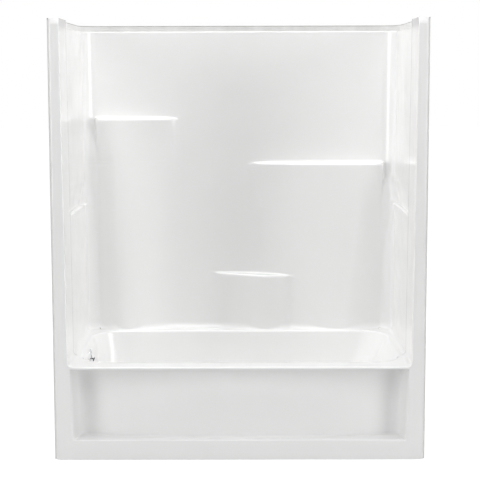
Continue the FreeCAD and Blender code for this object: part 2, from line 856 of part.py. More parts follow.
def waste_tee():
    x = tube_x
    y = well_middle_y
    socket_inner = tube_radius + tube_fit
    outer = tee_chamber_radius + tee_wall
    throat = plunger_radius + tee_throat_gap
    body = upright(outer, x, y, tee_chamber_bottom - tee_wall, tee_chamber_top + tee_wall)
    neck = upright(socket_inner + socket_wall, x, y, tee_chamber_top, tee_neck_top)
    outlet = upright(tube_radius, x, y, tee_outlet_bottom, tee_chamber_bottom)
    branch = along_x(socket_inner + socket_wall, x, x + tee_branch_reach, y, tee_branch_height)
    solid = fuse_all([body, neck, outlet, branch])
    hollows = [upright(tee_chamber_radius, x, y, tee_chamber_bottom, tee_chamber_top),
               upright(throat, x, y, tee_outlet_bottom, tee_neck_top),
               upright(socket_inner, x, y, tee_neck_top - tube_entry, tee_neck_top),
               along_x(tube_radius - tube_wall, x, x + tee_branch_reach, y, tee_branch_height),
               along_x(socket_inner, x + tee_branch_reach - tube_entry, x + tee_branch_reach, y,
                       tee_branch_height)]
    return solid.cut(hollows)


def waste_arm():
    low = tube_x + tee_branch_reach - tube_entry
    high = drain_x - shoe_socket_reach + tube_entry
    return ring_along_x(tube_radius, tube_radius - tube_wall, low, high, well_middle_y,
                        tee_branch_height)


def waste_shoe():
    y = well_middle_y
    bore = drain_body_radius + screw_gap
    cup_radius = bore + shoe_wall
    socket_inner = tube_radius + tube_fit
    socket_outer = socket_inner + socket_wall
    bottom = tee_branch_height - socket_outer
    flange = upright(shoe_flange_radius, drain_x, y, shoe_top - shoe_flange_thickness, shoe_top)
    cup = upright(cup_radius, drain_x, y, bottom, shoe_top)
    socket = along_x(socket_outer, drain_x - shoe_socket_reach, drain_x, y, tee_branch_height)
    solid = fuse_all([flange, cup, socket])
    hollows = [upright(bore, drain_x, y, bottom + socket_wall, shoe_top),
               along_x(tube_radius - tube_wall, drain_x - shoe_socket_reach, drain_x, y,
                       tee_branch_height),
               along_x(socket_inner, drain_x - shoe_socket_reach,
                       drain_x - shoe_socket_reach + tube_entry, y, tee_branch_height)]
    return solid.cut(hollows)


# Drain

def shoe_gasket():
    ring = upright(shoe_flange_radius, drain_x, well_middle_y, shoe_top, shoe_top + shoe_gasket_thickness)
    return ring.cut(upright(drain_body_radius + drain_hole_gap, drain_x, well_middle_y, shoe_top,
                            shoe_top + shoe_gasket_thickness))


def drain_flange():
    y = well_middle_y
    top = drain_floor + drain_flange_thickness
    low = top - drain_body_length
    rim = upright(drain_flange_radius, drain_x, y, drain_floor, top)
    body = upright(drain_body_radius, drain_x, y, low, top)
    bore = upright(drain_body_bore, drain_x, y, low, top)
    lead_in = upright(strainer_radius + seat_gap, drain_x, y, top - strainer_thickness, top)
    bar_top = top - crossbar_drop
    bars = [box(drain_x - drain_body_radius, drain_x + drain_body_radius, y - crossbar_width / 2,
                y + crossbar_width / 2, bar_top - crossbar_height, bar_top),
            box(drain_x - crossbar_width / 2, drain_x + crossbar_width / 2, y - drain_body_radius,
                y + drain_body_radius, bar_top - crossbar_height, bar_top)]
    hub = upright(strainer_boss_radius, drain_x, y, bar_top - crossbar_height, bar_top)
    inside = upright(drain_body_bore + screw_gap, drain_x, y, low, top)
    cross = fuse_all(bars + [hub]).common(inside)
    hole = upright(strainer_screw_radius + strainer_screw_gap, drain_x, y, low, top)
    return rim.fuse(body).cut([bore, lead_in]).fuse(cross).cut(hole).removeSplitter()


def strainer():
    y = well_middle_y
    top = drain_floor + drain_flange_thickness
    grid = upright(strainer_radius, drain_x, y, top - strainer_thickness, top)
    boss_low = top - crossbar_drop
    grid = grid.fuse(upright(strainer_boss_radius, drain_x, y, boss_low, top))
    holes = [upright(strainer_screw_radius + strainer_screw_gap, drain_x, y, boss_low, top)]
    for share, count in zip(strainer_ring_shares, strainer_ring_counts):
        for step in range(count):
            turn = 2 * pi * step / count
            holes.append(upright(strainer_hole_radius, drain_x + strainer_radius * share * cos(turn),
                                 y + strainer_radius * share * sin(turn), top - strainer_thickness, top))
    return grid.cut(holes).removeSplitter()


def strainer_screw():
    y = well_middle_y
    top = drain_floor + drain_flange_thickness
    shank = upright(strainer_screw_radius, drain_x, y, top - crossbar_drop - strainer_screw_bite, top)
    head = upright(strainer_head_radius, drain_x, y, top, top + strainer_head_height)
    slot = box(drain_x - strainer_head_radius, drain_x + strainer_head_radius, y - screw_slot_width / 2,
               y + screw_slot_width / 2, top + strainer_head_height / 2, top + overrun)
    return shank.fuse(head).cut(slot).removeSplitter()


# Plunger and lift rod

def plunger():
    body = upright(plunger_radius, tube_x, well_middle_y, plunger_bottom, plunger_bottom + plunger_height)
    rims = edges_where(body, lambda edge: near(edge.BoundBox.ZMin, edge.BoundBox.ZMax))
    body = body.makeChamfer(plunger_edge, rims)
    hole = upright(rod_radius, tube_x, well_middle_y, plunger_bottom + plunger_height / 2,
                   plunger_bottom + plunger_height)
    return body.cut(hole)


def lift_rod():
    """Straight rod with its upper end turned through the lever's eye."""
    y = well_middle_y
    hook_start = y - lever_width / 2 - ear_gap - rod_radius
    hook_end = y + lever_width / 2 + ear_gap
    bend_low = hook_height - 2 * lever_hub_radius - rod_play
    straight = upright(rod_radius, tube_x, y, plunger_bottom + plunger_height / 2, bend_low)
    jog = along_y(rod_radius, tube_x, hook_start, y, bend_low)
    riser = upright(rod_radius, tube_x, hook_start, bend_low, hook_height)
    hook = along_y(rod_radius, tube_x, hook_start, hook_end, hook_height)
    knuckles = [Part.makeSphere(rod_radius, point) for point in
                (Vector(tube_x, y, bend_low), Vector(tube_x, hook_start, bend_low),
                 Vector(tube_x, hook_start, hook_height))]
    return fuse_all([straight, jog, riser, hook] + knuckles)


def rod_nuts():
    nuts = []
    base = plunger_bottom + plunger_height
    for step in range(2):
        low = base + step * (rod_nut_height + rod_nut_gap)
        nut = hexagon(rod_nut_across_flats, Vector(tube_x, well_middle_y, low), Vector(0, 0, 1),
                      rod_nut_height)
        nuts.append(nut.cut(upright(rod_radius, tube_x, well_middle_y, low, low + rod_nut_height)))
    return Part.makeCompound(nuts)


def build():
    os.makedirs("parts", exist_ok=True)
    save(tub_shower_shell(), "tub_shower_shell")
    save(floor_board(), "floor_board")
    save(runner(runner_drain_end_x), "runner_drain_end")
    save(runner(runner_middle_x), "runner_middle")
    save(runner(runner_backrest_end_x), "runner_backrest_end")
    for name, place in (("left", -1), ("middle", 0), ("right", 1)):
        save(apron_brace(place * brace_spacing), "apron_brace_" + name)
    legs = (("left", -rear_leg_corner_x), ("middle", rear_leg_middle_x), ("right", rear_leg_corner_x))
    for name, place in legs:
        save(rear_leg(place), "rear_leg_" + name)
    save(jamb_stiffener(), "jamb_stiffener_right")
    save(mirrored(jamb_stiffener()), "jamb_stiffener_left")
    lower = side_backer(backer_low, ledge_height - backer_pocket_gap)
    upper = side_backer(ledge_height + pocket_height + backer_pocket_gap, backer_high)
    for name, backer in (("lower", lower), ("upper", upper)):
        save(backer, "side_backer_right_" + name)
        save(mirrored(backer), "side_backer_left_" + name)
    top_low = upper_shelf_height + backer_shelf_gap
    split = top_low - backer_column_gap
    save(back_backer(-backer_half_length, backer_half_length, top_low, backer_high), "back_backer_top")
    save(back_backer(upper_shelf_tip + backer_column_gap, right_shelf_tip - backer_column_gap,
                     low_shelf_height + backer_shelf_gap, split), "back_backer_middle")
    save(back_backer(right_shelf_tip, backer_half_length, right_shelf_height + backer_shelf_gap, split),
         "back_backer_right")
    save(overflow_plate(), "overflow_plate")
    save(plate_screws(), "plate_screws")
    save(trip_lever(), "trip_lever")
    save(lever_pin(), "lever_pin")
    save(lever_spring(), "lever_spring")
    save(overflow_gasket(), "overflow_gasket")
    save(overflow_elbow(), "overflow_elbow")
    save(overflow_tube(), "overflow_tube")
    for name, (nut, washer) in slip_joints().items():
        save(nut, name + "_slip_nut")
        save(washer, name + "_slip_washer")
    save(waste_tee(), "waste_tee")
    save(waste_arm(), "waste_arm")
    save(waste_shoe(), "waste_shoe")
    save(shoe_gasket(), "shoe_gasket")
    save(drain_flange(), "drain_flange")
    save(strainer(), "strainer")
    save(strainer_screw(), "strainer_screw")
    save(plunger(), "plunger")
    save(lift_rod(), "lift_rod")
    save(rod_nuts(), "rod_nuts")


build()
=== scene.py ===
# %% [markdown]
# # A one-piece tub and shower module
# The real object is one big moulding of glossy white gelcoat on glass-fibre laminate, with timber and
# boards bonded behind it and a trip-lever waste and overflow set at its left end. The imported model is
# the fixed frame: it gives the sizes, the bodies and the plain pieces. This lesson adds the looks.

import json
from math import cos, pi, radians, sin

import bmesh
import bpy
import numpy as np
from mathutils import Matrix, Vector


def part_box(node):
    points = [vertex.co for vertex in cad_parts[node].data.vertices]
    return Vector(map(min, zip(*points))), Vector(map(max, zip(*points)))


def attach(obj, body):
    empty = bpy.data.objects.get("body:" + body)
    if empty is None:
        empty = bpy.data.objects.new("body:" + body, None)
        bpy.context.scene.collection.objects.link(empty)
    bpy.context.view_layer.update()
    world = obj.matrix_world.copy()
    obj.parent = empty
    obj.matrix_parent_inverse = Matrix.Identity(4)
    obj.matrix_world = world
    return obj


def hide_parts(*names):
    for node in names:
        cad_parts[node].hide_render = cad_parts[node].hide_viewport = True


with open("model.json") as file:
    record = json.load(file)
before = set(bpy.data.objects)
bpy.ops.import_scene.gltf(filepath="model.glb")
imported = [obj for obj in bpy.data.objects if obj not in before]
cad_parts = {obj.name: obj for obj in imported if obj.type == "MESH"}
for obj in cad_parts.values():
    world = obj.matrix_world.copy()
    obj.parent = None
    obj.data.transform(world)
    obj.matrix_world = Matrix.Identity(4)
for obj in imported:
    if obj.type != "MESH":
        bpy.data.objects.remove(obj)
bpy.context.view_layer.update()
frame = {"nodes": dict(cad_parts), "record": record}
nodes = frame["nodes"]

# %% [markdown]
# ## Sizes
# All lengths below are real sizes in millimetres, and MM turns them into Blender's metres. Depths are
# measured from the front plane into the alcove. The outer sizes come from the frame, so that the
# moulding can't outgrow it.

# %% Sizes of the moulding
MM = 0.001
shell_low, shell_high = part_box("tub_shower_shell")
half_width = (shell_high.x - shell_low.x) / 2 / MM
front_y = shell_low.y / MM
total_height = shell_high.z / MM
skin = 5.0
deck = 389.0
half_at_deck = 705.0
half_at_top = 715.0
back_at_deck = 785.0
back_at_top = 793.0
corner_radius = 60.0
edge_radius = 4.0
strip_depth = 206.0
step_run = 24.0
step_size = 8.0
side_cove = 20.0
back_cove = 26.0
print("moulding", 2 * half_width, "wide,", total_height, "high")

# %% [markdown]
# ## Helpers for shapes
# Large moulded surfaces are easiest to lay point by point. `sheet` adds a grid primitive and puts its
# points on a surface that a formula gives, so every sheet is an even net of four-sided faces.

# %% Small helpers
merge_gap = 0.01


def between(low, high, share):
    return low + (high - low) * share


def eased(share):
    share = np.clip(share, 0.0, 1.0)
    return share * share * (3.0 - 2.0 * share)


def swept(share):
    """Half a cosine wave from 0 to 1."""
    return (1.0 - np.cos(pi * np.clip(share, 0.0, 1.0))) / 2.0


def even_shares(count):
    return np.linspace(0.0, 1.0, count)


def arc(count):
    """Turns of a quarter circle, from nothing to a right angle."""
    return np.linspace(0.0, pi / 2, count)


def deselect():
    bpy.ops.object.select_all(action="DESELECT")


def make_active(piece):
    deselect()
    piece.select_set(True)
    bpy.context.view_layer.objects.active = piece


def sheet(name, points):
    """A grid primitive whose points are laid on a surface, row by row. Points are millimetres:
    x, depth from the front plane, height."""
    points = np.asarray(points, float)
    rows, columns = points.shape[:2]
    deselect()
    bpy.ops.mesh.primitive_grid_add(x_subdivisions=columns - 1, y_subdivisions=rows - 1, size=1)
    piece = bpy.context.object
    piece.name = name
    placed = points.reshape(-1, 3) * MM
    placed[:, 1] += front_y * MM
    piece.data.vertices.foreach_set("co", placed.ravel())
    piece.data.update()
    return piece


# %% [markdown]
# ## The plan of the walls
# Seen from above, the walls run from the left front edge along the left side, round a corner of 60 mm,
# across the back, round the other corner and out again. Each column of the wall sheet is one place on
# that path, closer together where the wall bends. The walls lean out a little towards the top, so a
# place is worked out for each height.

# %% Columns of the wall sheet
pocket_front = 236.0
pocket_end = 722.0
column_pitch = 18.5
pocket_edge_run = 8.0
pocket_edge_steps = np.array([-3.0, -1.0, 0.5, 2.0, 4.0, pocket_edge_run])
strip_depths = np.linspace(edge_radius, strip_depth, 10)
step_depths = np.linspace(strip_depth, strip_depth + step_run, 6)[1:]
pocket_front_depths = pocket_front + pocket_edge_steps
pocket_steps = round((pocket_end - pocket_front - pocket_edge_run) / column_pitch)
panel_depths = np.linspace(pocket_front + pocket_edge_run, pocket_end, pocket_steps + 1)[1:]
side_depths = np.concatenate([strip_depths, step_depths, pocket_front_depths, panel_depths])
corner_turns = np.radians([0, 11, 22, 33, 44, 55, 65, 73, 78, 80.5, 83, 85.5, 88, 90])
back_reach = 618.0
close_steps = np.array([4.0, 10.0, 15.0, 20.0, 24.0, 28.0, 32.0])
close_places = back_reach + close_steps
back_places = np.linspace(-back_reach, back_reach, round(2 * back_reach / column_pitch) + 1)
back_places = np.concatenate([-close_places[::-1], back_places, close_places])

sides = len(side_depths)
turns = len(corner_turns)
backs = len(back_places)
column_side = np.concatenate([-np.ones(sides + turns), np.zeros(backs), np.ones(turns + sides)])
column_depth = np.concatenate([side_depths, np.zeros(2 * turns + backs), side_depths[::-1]])
column_turn = np.concatenate([np.zeros(sides), corner_turns, np.zeros(backs), corner_turns[::-1],
                              np.zeros(sides)])
column_place = np.concatenate([np.zeros(sides + turns), back_places, np.zeros(turns + sides)])
on_side = np.zeros(len(column_side), bool)
on_side[:sides] = on_side[-sides:] = True
on_back = column_side == 0
on_turn = ~on_side & ~on_back
print("wall columns", len(column_side))


def plan(height):
    """Plan places and outward directions of all columns at a height, one height or one per column."""
    share = (height - deck) / (total_height - deck)
    half = between(half_at_deck, half_at_top, share)
    back = between(back_at_deck, back_at_top, share)
    panel = half + step_size
    step = step_size * swept((column_depth - strip_depth) / step_run)
    x = np.where(on_side, column_side * (half + step), column_place)
    depth = np.where(on_side, column_depth, back)
    turn_x = column_side * (panel - corner_radius + corner_radius * np.cos(column_turn))
    turn_depth = back - corner_radius + corner_radius * np.sin(column_turn)
    x = np.where(on_turn, turn_x, x)
    depth = np.where(on_turn, turn_depth, depth)
    out_x = np.where(on_side, column_side, np.where(on_turn, column_side * np.cos(column_turn), 0.0))
    out_depth = np.where(on_side, 0.0, np.where(on_turn, np.sin(column_turn), 1.0))
    return x, depth, out_x, out_depth


# %% [markdown]
# ## The shelf columns
# The shelves are tops of columns that swell out of the back wall and run down to the deck. A column is
# steep on its blunt side and long on its tail. Near the deck it is a soft wave, and near its shelf it
# comes forward sooner. Where two columns meet, a rounded maximum blends them.

# %% Shelf columns
ridge_reach = 67.0
blend_power = 5.0
blunt_power = 12.0
blunt_climb_power = 4
tail_climb_power = 6
fill_share = 0.85
fill_turn = radians(30.0)
fill_start = 6.0
fill_run = 200.0
shelf_lip = 12.0
shelf_cove = 10.0
columns = {
    "upper": {"ends": (-672.0, -290.0), "crests": (-560.0, -600.0), "crests_at_deck": (-532.0, -532.0),
              "blunt": 0, "taper": 0.55, "height": 1379.0, "fall": 0.0},
    "right": {"ends": (53.0, 674.0), "crests": (370.0, 560.0), "crests_at_deck": (474.0, 474.0),
              "blunt": 1, "taper": 0.65, "height": 1170.0, "fall": 0.0},
    "low": {"ends": (-133.0, 316.0), "crests": (122.0, 122.0), "crests_at_deck": (124.0, 130.0),
            "blunt": None, "taper": 0.7, "height": 654.0, "fall": 14.0},
}


def shelf_height(column, x):
    low, high = column["ends"]
    return column["height"] - column["fall"] * np.clip((x - low) / (high - low), 0.0, 1.0)


def corner_fill(column, height):
    """On its blunt side a column also fills the corner, a little below its shelf."""
    climb = np.clip((height - deck) / (column["height"] - deck), 0.0, 1.0)
    below = eased((column["height"] - fill_start - height) / fill_run)
    side = -1 if column["blunt"] == 0 else 1
    near_side = (column_side == side) & on_turn
    spread = np.where(near_side, eased(column_turn / fill_turn), 0.0)
    spread = np.where(on_back & (side * column_place > 0), 1.0, spread)
    return fill_share * spread * climb ** blunt_climb_power * below


def swell(column, x, height):
    """How far a column stands out of the wall at x, from 0 to 1."""
    climb = np.clip((height - deck) / (column["height"] - deck), 0.0, 1.0)
    total = np.ones_like(x)
    for end in (0, 1):
        crest = between(column["crests_at_deck"][end], column["crests"][end], climb)
        share = np.clip((x - column["ends"][end]) / (crest - column["ends"][end]), 0.0, 1.0)
        if column["blunt"] == end:
            near_shelf = 1.0 - (1.0 - share) ** blunt_power
            weight = climb ** blunt_climb_power
        else:
            near_shelf = share ** column["taper"]
            weight = climb ** tail_climb_power
        rise = between(swept(share), near_shelf, weight)
        if column["blunt"] == end:
            rise = np.maximum(rise, corner_fill(column, height))
        total = total * rise
    return total


def stands_out(names, height):
    """Depth that the named columns stand in front of the bare wall, for every place on the path."""
    x, depth, _, _ = plan(height)
    back = between(back_at_deck, back_at_top, (height - deck) / (total_height - deck))
    reach = ridge_reach + back - back_at_deck
    corner = np.where(on_side, 0.0, np.maximum(back - depth, 0.0))
    total = corner ** blend_power
    for name in names:
        total = total + (reach * swell(columns[name], x, height)) ** blend_power
    return np.where(on_side, 0.0, total ** (1 / blend_power) - corner)


print("shelf columns", {name: column["height"] for name, column in columns.items()})

# %% [markdown]
# ## Rows of the wall sheet
# The rows climb from the deck to the nailing flange. Most are level, but over each shelf they follow
# its rounded lip, its flat top and the cove behind it, and the side pockets are treated alike. Where a
# shelf fades out, its rows spread evenly again, so that no face collapses.

# %% Laying rows
lip_share_of_drop = 0.6
cove_share_of_drop = 0.3
full_shelf_drop = 6.0
rows_x, rows_depth, rows_height = [], [], []


def lay_row(height, stand=0.0, outward=0.0):
    x, depth, out_x, out_depth = plan(height)
    rows_x.append(x + out_x * outward)
    rows_depth.append(depth + out_depth * outward - stand)
    rows_height.append(height + np.zeros_like(x))


def lay_plain(low, high, count, names):
    for share in even_shares(count):
        height = between(low, high, share)
        lay_row(height, stands_out(names, height))


def lay_shelf(name, names):
    column = columns[name]
    x = plan(column["height"])[0]
    top = shelf_height(column, x)
    below = stands_out(names + [name], top - shelf_lip)
    above = stands_out(names, top)
    drop = np.maximum(below - above, 0.0)
    lip = np.minimum(shelf_lip, lip_share_of_drop * drop)
    cove = np.minimum(shelf_cove, cove_share_of_drop * drop)
    show = eased(drop / full_shelf_drop)
    stands, heights = [], []
    for turn in arc(7):
        stands.append(below - lip + lip * cos(turn))
        heights.append(top - lip + lip * sin(turn))
    for share in even_shares(5)[1:]:
        stands.append(between(below - lip, above + cove, share))
        heights.append(top)
    for turn in arc(6)[1:]:
        stands.append(above + cove * (1.0 - sin(turn)))
        heights.append(top + cove * (1.0 - cos(turn)))
    spread = np.linspace(-shelf_lip, shelf_cove, len(stands))
    for stand, height, even in zip(stands, heights, spread):
        lay_row(between(top + even, height, show), stand)


# %% [markdown]
# ### The cove at the walls' foot
# The walls turn into the deck through a hollow rounding, 20 mm at the sides and 26 mm at the back. At the
# back it is smaller where a column comes close to the well. Each row of the cove goes the same share of
# the turn, in towards the deck, square to the walls' foot line.

# %% Cove between the walls and the deck
foot_turns = np.linspace(pi / 2, 0.0, 8)
well_back = 703.0
rim_tangent_at_back = 7.0
foot_x, foot_depth, foot_out_x, _ = plan(deck)
foot_stand = stands_out(["upper", "right", "low"], deck)
foot_depth = foot_depth - foot_stand
along_x = np.gradient(foot_x)
along_depth = np.gradient(foot_depth)
run = np.hypot(along_x, along_depth)
into_x, into_depth = along_depth / run, -along_x / run
into_x = np.where(on_side, -foot_out_x, into_x)
into_depth = np.where(on_side, 0.0, into_depth)
cove_radius = np.where(on_side, side_cove, back_cove)
cove_radius = np.where(on_turn, between(side_cove, back_cove, column_turn / (pi / 2)), cove_radius)
room = np.where(on_back, foot_depth - well_back - rim_tangent_at_back, back_cove)
cove_radius = np.minimum(cove_radius, room)
print("deck cove from", cove_radius.min(), "to", cove_radius.max())
for turn in foot_turns:
    above_deck = deck + cove_radius * (1 - sin(turn))
    x, depth, _, _ = plan(above_deck)
    depth = depth - stands_out(["upper", "right", "low"], above_deck)
    inward = cove_radius * (1 - cos(turn))
    rows_x.append(x + into_x * inward)
    rows_depth.append(depth + into_depth * inward)
    rows_height.append(above_deck)

# %% [markdown]
# ### Shelves and side pockets
# From the deck up come plain wall, the low shelf, plain wall, the side pockets with their ledges, the
# right shelf, the upper shelf and the foot of the flange. A pocket is a hollow in the side wall: it has a
# flat ledge, and above it the hollow fades back into the wall.

# %% Walls, shelves and pockets
ledge = 981.0
pocket_rise = 120.0
pocket_reach = 22.0
pocket_lead = 2.0
pocket_opening_run = 10.0
pocket_fade_start = 690.0
pocket_fade_run = 80.0
full_pocket = 5.0
ledge_round = 5.0
ledge_round_share = 0.4
ledge_cove = 4.0
ledge_cove_share = 0.3
row_gap = 5.0
pocket_gap = 6.0
lay_plain(deck + back_cove + row_gap, columns["low"]["height"] - 2 * shelf_lip - row_gap, 10,
          ["upper", "right", "low"])
lay_shelf("low", ["upper", "right"])
lay_plain(columns["low"]["height"] + shelf_cove + row_gap, ledge - ledge_round - row_gap, 10,
          ["upper", "right"])

path_length = np.where(on_side, column_depth, pocket_end + corner_radius * column_turn)
pocket_opens = eased((path_length - pocket_front + pocket_lead) / pocket_opening_run)
pocket_share = pocket_opens * (1 - eased((path_length - pocket_fade_start) / pocket_fade_run))
pocket = np.where(on_back, 0.0, pocket_reach * pocket_share)
rounding = np.minimum(ledge_round, ledge_round_share * pocket)
hollow = np.minimum(ledge_cove, ledge_cove_share * pocket)
pocket_rows = [(rounding * (1 - cos(turn)), ledge - rounding * (1 - sin(turn)))
               for turn in arc(5)]
pocket_rows += [(between(rounding, pocket - hollow, share), ledge + 0 * pocket)
                for share in even_shares(5)[1:]]
pocket_rows += [(pocket - hollow * (1 - sin(turn)), ledge + hollow * (1 - cos(turn)))
                for turn in arc(4)[1:]]
pocket_rows += [(pocket * (1 - share), between(ledge + hollow, ledge + pocket_rise, share))
                for share in even_shares(9)[1:]]
even_rows = np.linspace(ledge - ledge_round, ledge + pocket_rise, len(pocket_rows))
show = eased(pocket / full_pocket)
for (outward, height), even in zip(pocket_rows, even_rows):
    height = between(even, height, show)
    lay_row(height, stands_out(["upper", "right"], height), outward)

lay_plain(ledge + pocket_rise + pocket_gap, columns["right"]["height"] - shelf_lip - row_gap, 4,
          ["upper", "right"])
lay_shelf("right", ["upper"])
lay_plain(columns["right"]["height"] + shelf_cove + row_gap,
          columns["upper"]["height"] - shelf_lip - row_gap, 6, ["upper"])
lay_shelf("upper", [])
print("rows up to the upper shelf", len(rows_x))

# %% [markdown]
# ### The nailing flange
# Round the top of the walls the moulding steps out and up again into a narrow flange, which is nailed to
# the studs. It has three faint grooves, and it ends where the front strips begin.

# %% Nailing flange round the top of the walls
flange_foot = 1773.0
flange_gap = 1.0
flange_reach = 15.0
flange_round = 2.0
flange_hollow = 3.0
flange_top = total_height - flange_round
flange_lead = 2.0
flange_opening_run = 3.0
groove_depth = 0.7
groove_count = 3
lay_plain(columns["upper"]["height"] + shelf_cove + row_gap, flange_foot - flange_round - flange_gap, 9, [])
behind_step = column_depth - strip_depth - step_run
flange_share = np.where(on_side, eased((behind_step + flange_lead) / flange_opening_run), 1.0)
flange_rows = [(flange_round * (1 - cos(turn)), flange_foot - flange_round * (1 - sin(turn)))
               for turn in arc(5)]
flange_rows += [(between(flange_round, flange_reach - flange_hollow, share), flange_foot)
                for share in even_shares(4)[1:]]
flange_rows += [(flange_reach - flange_hollow * (1 - sin(turn)),
                 flange_foot + flange_hollow * (1 - cos(turn))) for turn in arc(4)[1:]]
for share in even_shares(13)[1:]:
    dip = groove_depth * max(0.0, cos(2 * groove_count * pi * share + pi)) ** 4
    flange_rows.append((flange_reach - groove_depth + dip,
                        between(flange_foot + flange_hollow, flange_top, share)))
even_rows = np.linspace(flange_foot - flange_round, total_height, len(flange_rows))
for (outward, height), even in zip(flange_rows, even_rows):
    lay_row(between(even, height, flange_share), 0.0, outward * flange_share)

wall_points = np.stack([np.array(rows_x), np.array(rows_depth), np.array(rows_height)], axis=-1)
print("wall sheet", wall_points.shape)

# %% [markdown]
# ## The front frame
# The jambs are part of the moulding. Their faces are nearly flat, roll back a little towards the
# outside, lean back at the very top and end in a strip that is nailed to the studs.

# %% Jambs
cap_height = 26.0
cap_setback = 8.0
cap_power = 1.3
cap_fade_run = 40.0
crown_start = 706.0
crown_drop = 4.0
nailing_strip = 6.0
strip_round = 1.5
outer_face = half_width - nailing_strip
outer_radius = 8.0
lip_setback = 14.0
lip_height = 10.0
lip_bottom = deck - lip_height
toe_top = 82.0
apron_half_at_lip = 694.0
apron_half_at_toe = 685.0
edge_turns = arc(5)


def cap(height):
    """How far the face leans back at a height."""
    lean = np.clip((height - total_height + cap_height) / cap_height, 0.0, 1.0)
    return cap_setback * lean ** cap_power


def crown(x):
    """How far the face rolls back towards the outside."""
    return crown_drop * np.clip((np.abs(x) - crown_start) / (outer_face - crown_start), 0.0, 1.0) ** 2


def outer_edge(height):
    """Columns from the face's outer end round the edge and back to the nailing lip."""
    end = outer_face - outer_radius
    back = cap(height) + crown(end)
    hollow_step = strip_round / 3
    columns_made = [(outer_face - outer_radius + outer_radius * sin(turn),
                     back + outer_radius * (1 - cos(turn))) for turn in arc(5)]
    columns_made += [(outer_face, lip_setback - strip_round),
                     (outer_face + hollow_step, lip_setback - hollow_step),
                     (outer_face + strip_round, lip_setback), (half_width, lip_setback)]
    return [(x, min(depth, lip_setback)) for x, depth in columns_made]


near_front = np.clip(1.0 - (wall_points[:, :, 1] - edge_radius) / cap_fade_run, 0.0, 1.0)
near_front = np.where(on_side[None, :], near_front, 0.0)
wall_points[:, :, 1] += cap(wall_points[:, :, 2]) * near_front
walls = sheet("walls", wall_points)

tray_columns = 5
tray_shares = even_shares(tray_columns + 1)
foot_of_jamb = half_at_deck - side_cove
face_shares = np.concatenate([between(0.0, apron_half_at_lip - foot_of_jamb, tray_shares),
                              between(apron_half_at_lip, outer_face - outer_radius,
                                      even_shares(7)[1:]) - foot_of_jamb])
face_shares = face_shares / face_shares[-1]


def jamb_points(side):
    edge = wall_points[:, 0 if side < 0 else -1]
    made = []
    for x, depth, height in edge:
        upright = np.clip((height - deck) / side_cove, 0.0, 1.0)
        fall = 1.0 - upright
        out = Vector((side * np.sqrt(max(0.0, 1 - fall * fall)), 0.0, -fall))
        start = Vector((x, depth - edge_radius, height))
        row = [start + out * (edge_radius * (1 - cos(turn))) + Vector((0, edge_radius * (1 - sin(turn)), 0))
               for turn in edge_turns]
        inner = row[-1]
        for share in face_shares[1:]:
            place = between(abs(inner.x), outer_face - outer_radius, share)
            row.append(Vector((side * place, cap(inner.z) + crown(place), inner.z)))
        for place, back in outer_edge(inner.z)[1:]:
            row.append(Vector((side * place, back, inner.z)))
        made.append([tuple(point) for point in row])
    return made


jambs = [sheet("jamb", jamb_points(side)) for side in (-1, 1)]
print("jamb", outer_face - foot_of_jamb, "wide at its foot")

# %% [markdown]
# ## The lower front
# Between the jambs the front is a lip at deck height, and under it a toe band on the floor. The jambs run
# down past both. The lip's rounding grows from the jambs' 4 mm to 6 mm, as it does on a real rim, so its
# rows use a radius of their own at every place.

# %% Lower front: lip, toe band and the jambs' feet
lip_line = np.linspace(-foot_of_jamb, foot_of_jamb, 81)
lip_round = 6.0
lip_blend = 70.0
lip_radius = edge_radius + (lip_round - edge_radius) * eased((foot_of_jamb - np.abs(lip_line)) / lip_blend)
lip_rows = [[(x, radius * (1 - sin(turn)), deck - radius * (1 - cos(turn)))
             for x, radius in zip(lip_line, lip_radius)] for turn in edge_turns]
lip = sheet("lip", lip_rows)

face_top = deck - edge_radius
tray_edge = between(foot_of_jamb, apron_half_at_lip, tray_shares)
tray_front = np.concatenate([-tray_edge[:0:-1], lip_line, tray_edge[1:]])
tray_radius = np.concatenate([np.full(tray_columns, edge_radius), lip_radius,
                              np.full(tray_columns, edge_radius)])
lip_face = sheet("lip_face", [[(x, 0.0, between(deck - radius, lip_bottom, share))
                               for x, radius in zip(tray_front, tray_radius)]
                              for share in (0.0, 1.0)])
toe_share = apron_half_at_toe / apron_half_at_lip
toe_face = sheet("toe_face", [[(x * toe_share, 0.0, height) for x in tray_front]
                              for height in np.linspace(toe_top, 0.0, 6)])


def foot_points(side):
    heights = np.concatenate([[face_top], np.linspace(lip_bottom, toe_top, 18),
                              np.linspace(toe_top, 0.0, 6)[1:]])
    top_shares = face_shares[tray_columns:]
    top_places = between(foot_of_jamb, outer_face - outer_radius, top_shares)
    made = []
    for height in heights:
        share = np.clip((lip_bottom - height) / (lip_bottom - toe_top), 0.0, 1.0)
        inner = between(apron_half_at_lip, apron_half_at_toe, share)
        shares = (top_places - apron_half_at_lip) / (top_places[-1] - apron_half_at_lip)
        row = [(side * place, crown(place), height)
               for place in between(inner, outer_face - outer_radius, shares)]
        row += [(side * place, back, height) for place, back in outer_edge(height)[1:]]
        made.append(row)
    return made


feet = [sheet("foot", foot_points(side)) for side in (-1, 1)]
print("lip and toe band,", len(tray_front), "places")

# %% [markdown]
# ## The apron
# Under the lip the apron is set back and bowed: it is deepest beside the jambs and comes forward in
# the middle. The tray is a sheet that goes back under the lip, down the apron and forward over the toe
# band. At the two ends all its rows meet, and merging by distance closes them.

# %% Apron
apron_bevel = 28.0
apron_side_depth = 95.0
apron_middle_depth = 44.0
apron_cove = 10.0
bow_blend = 4.0
bevel_steepness = 1.15
least_depth = 0.1
cove_share_of_depth = 0.45


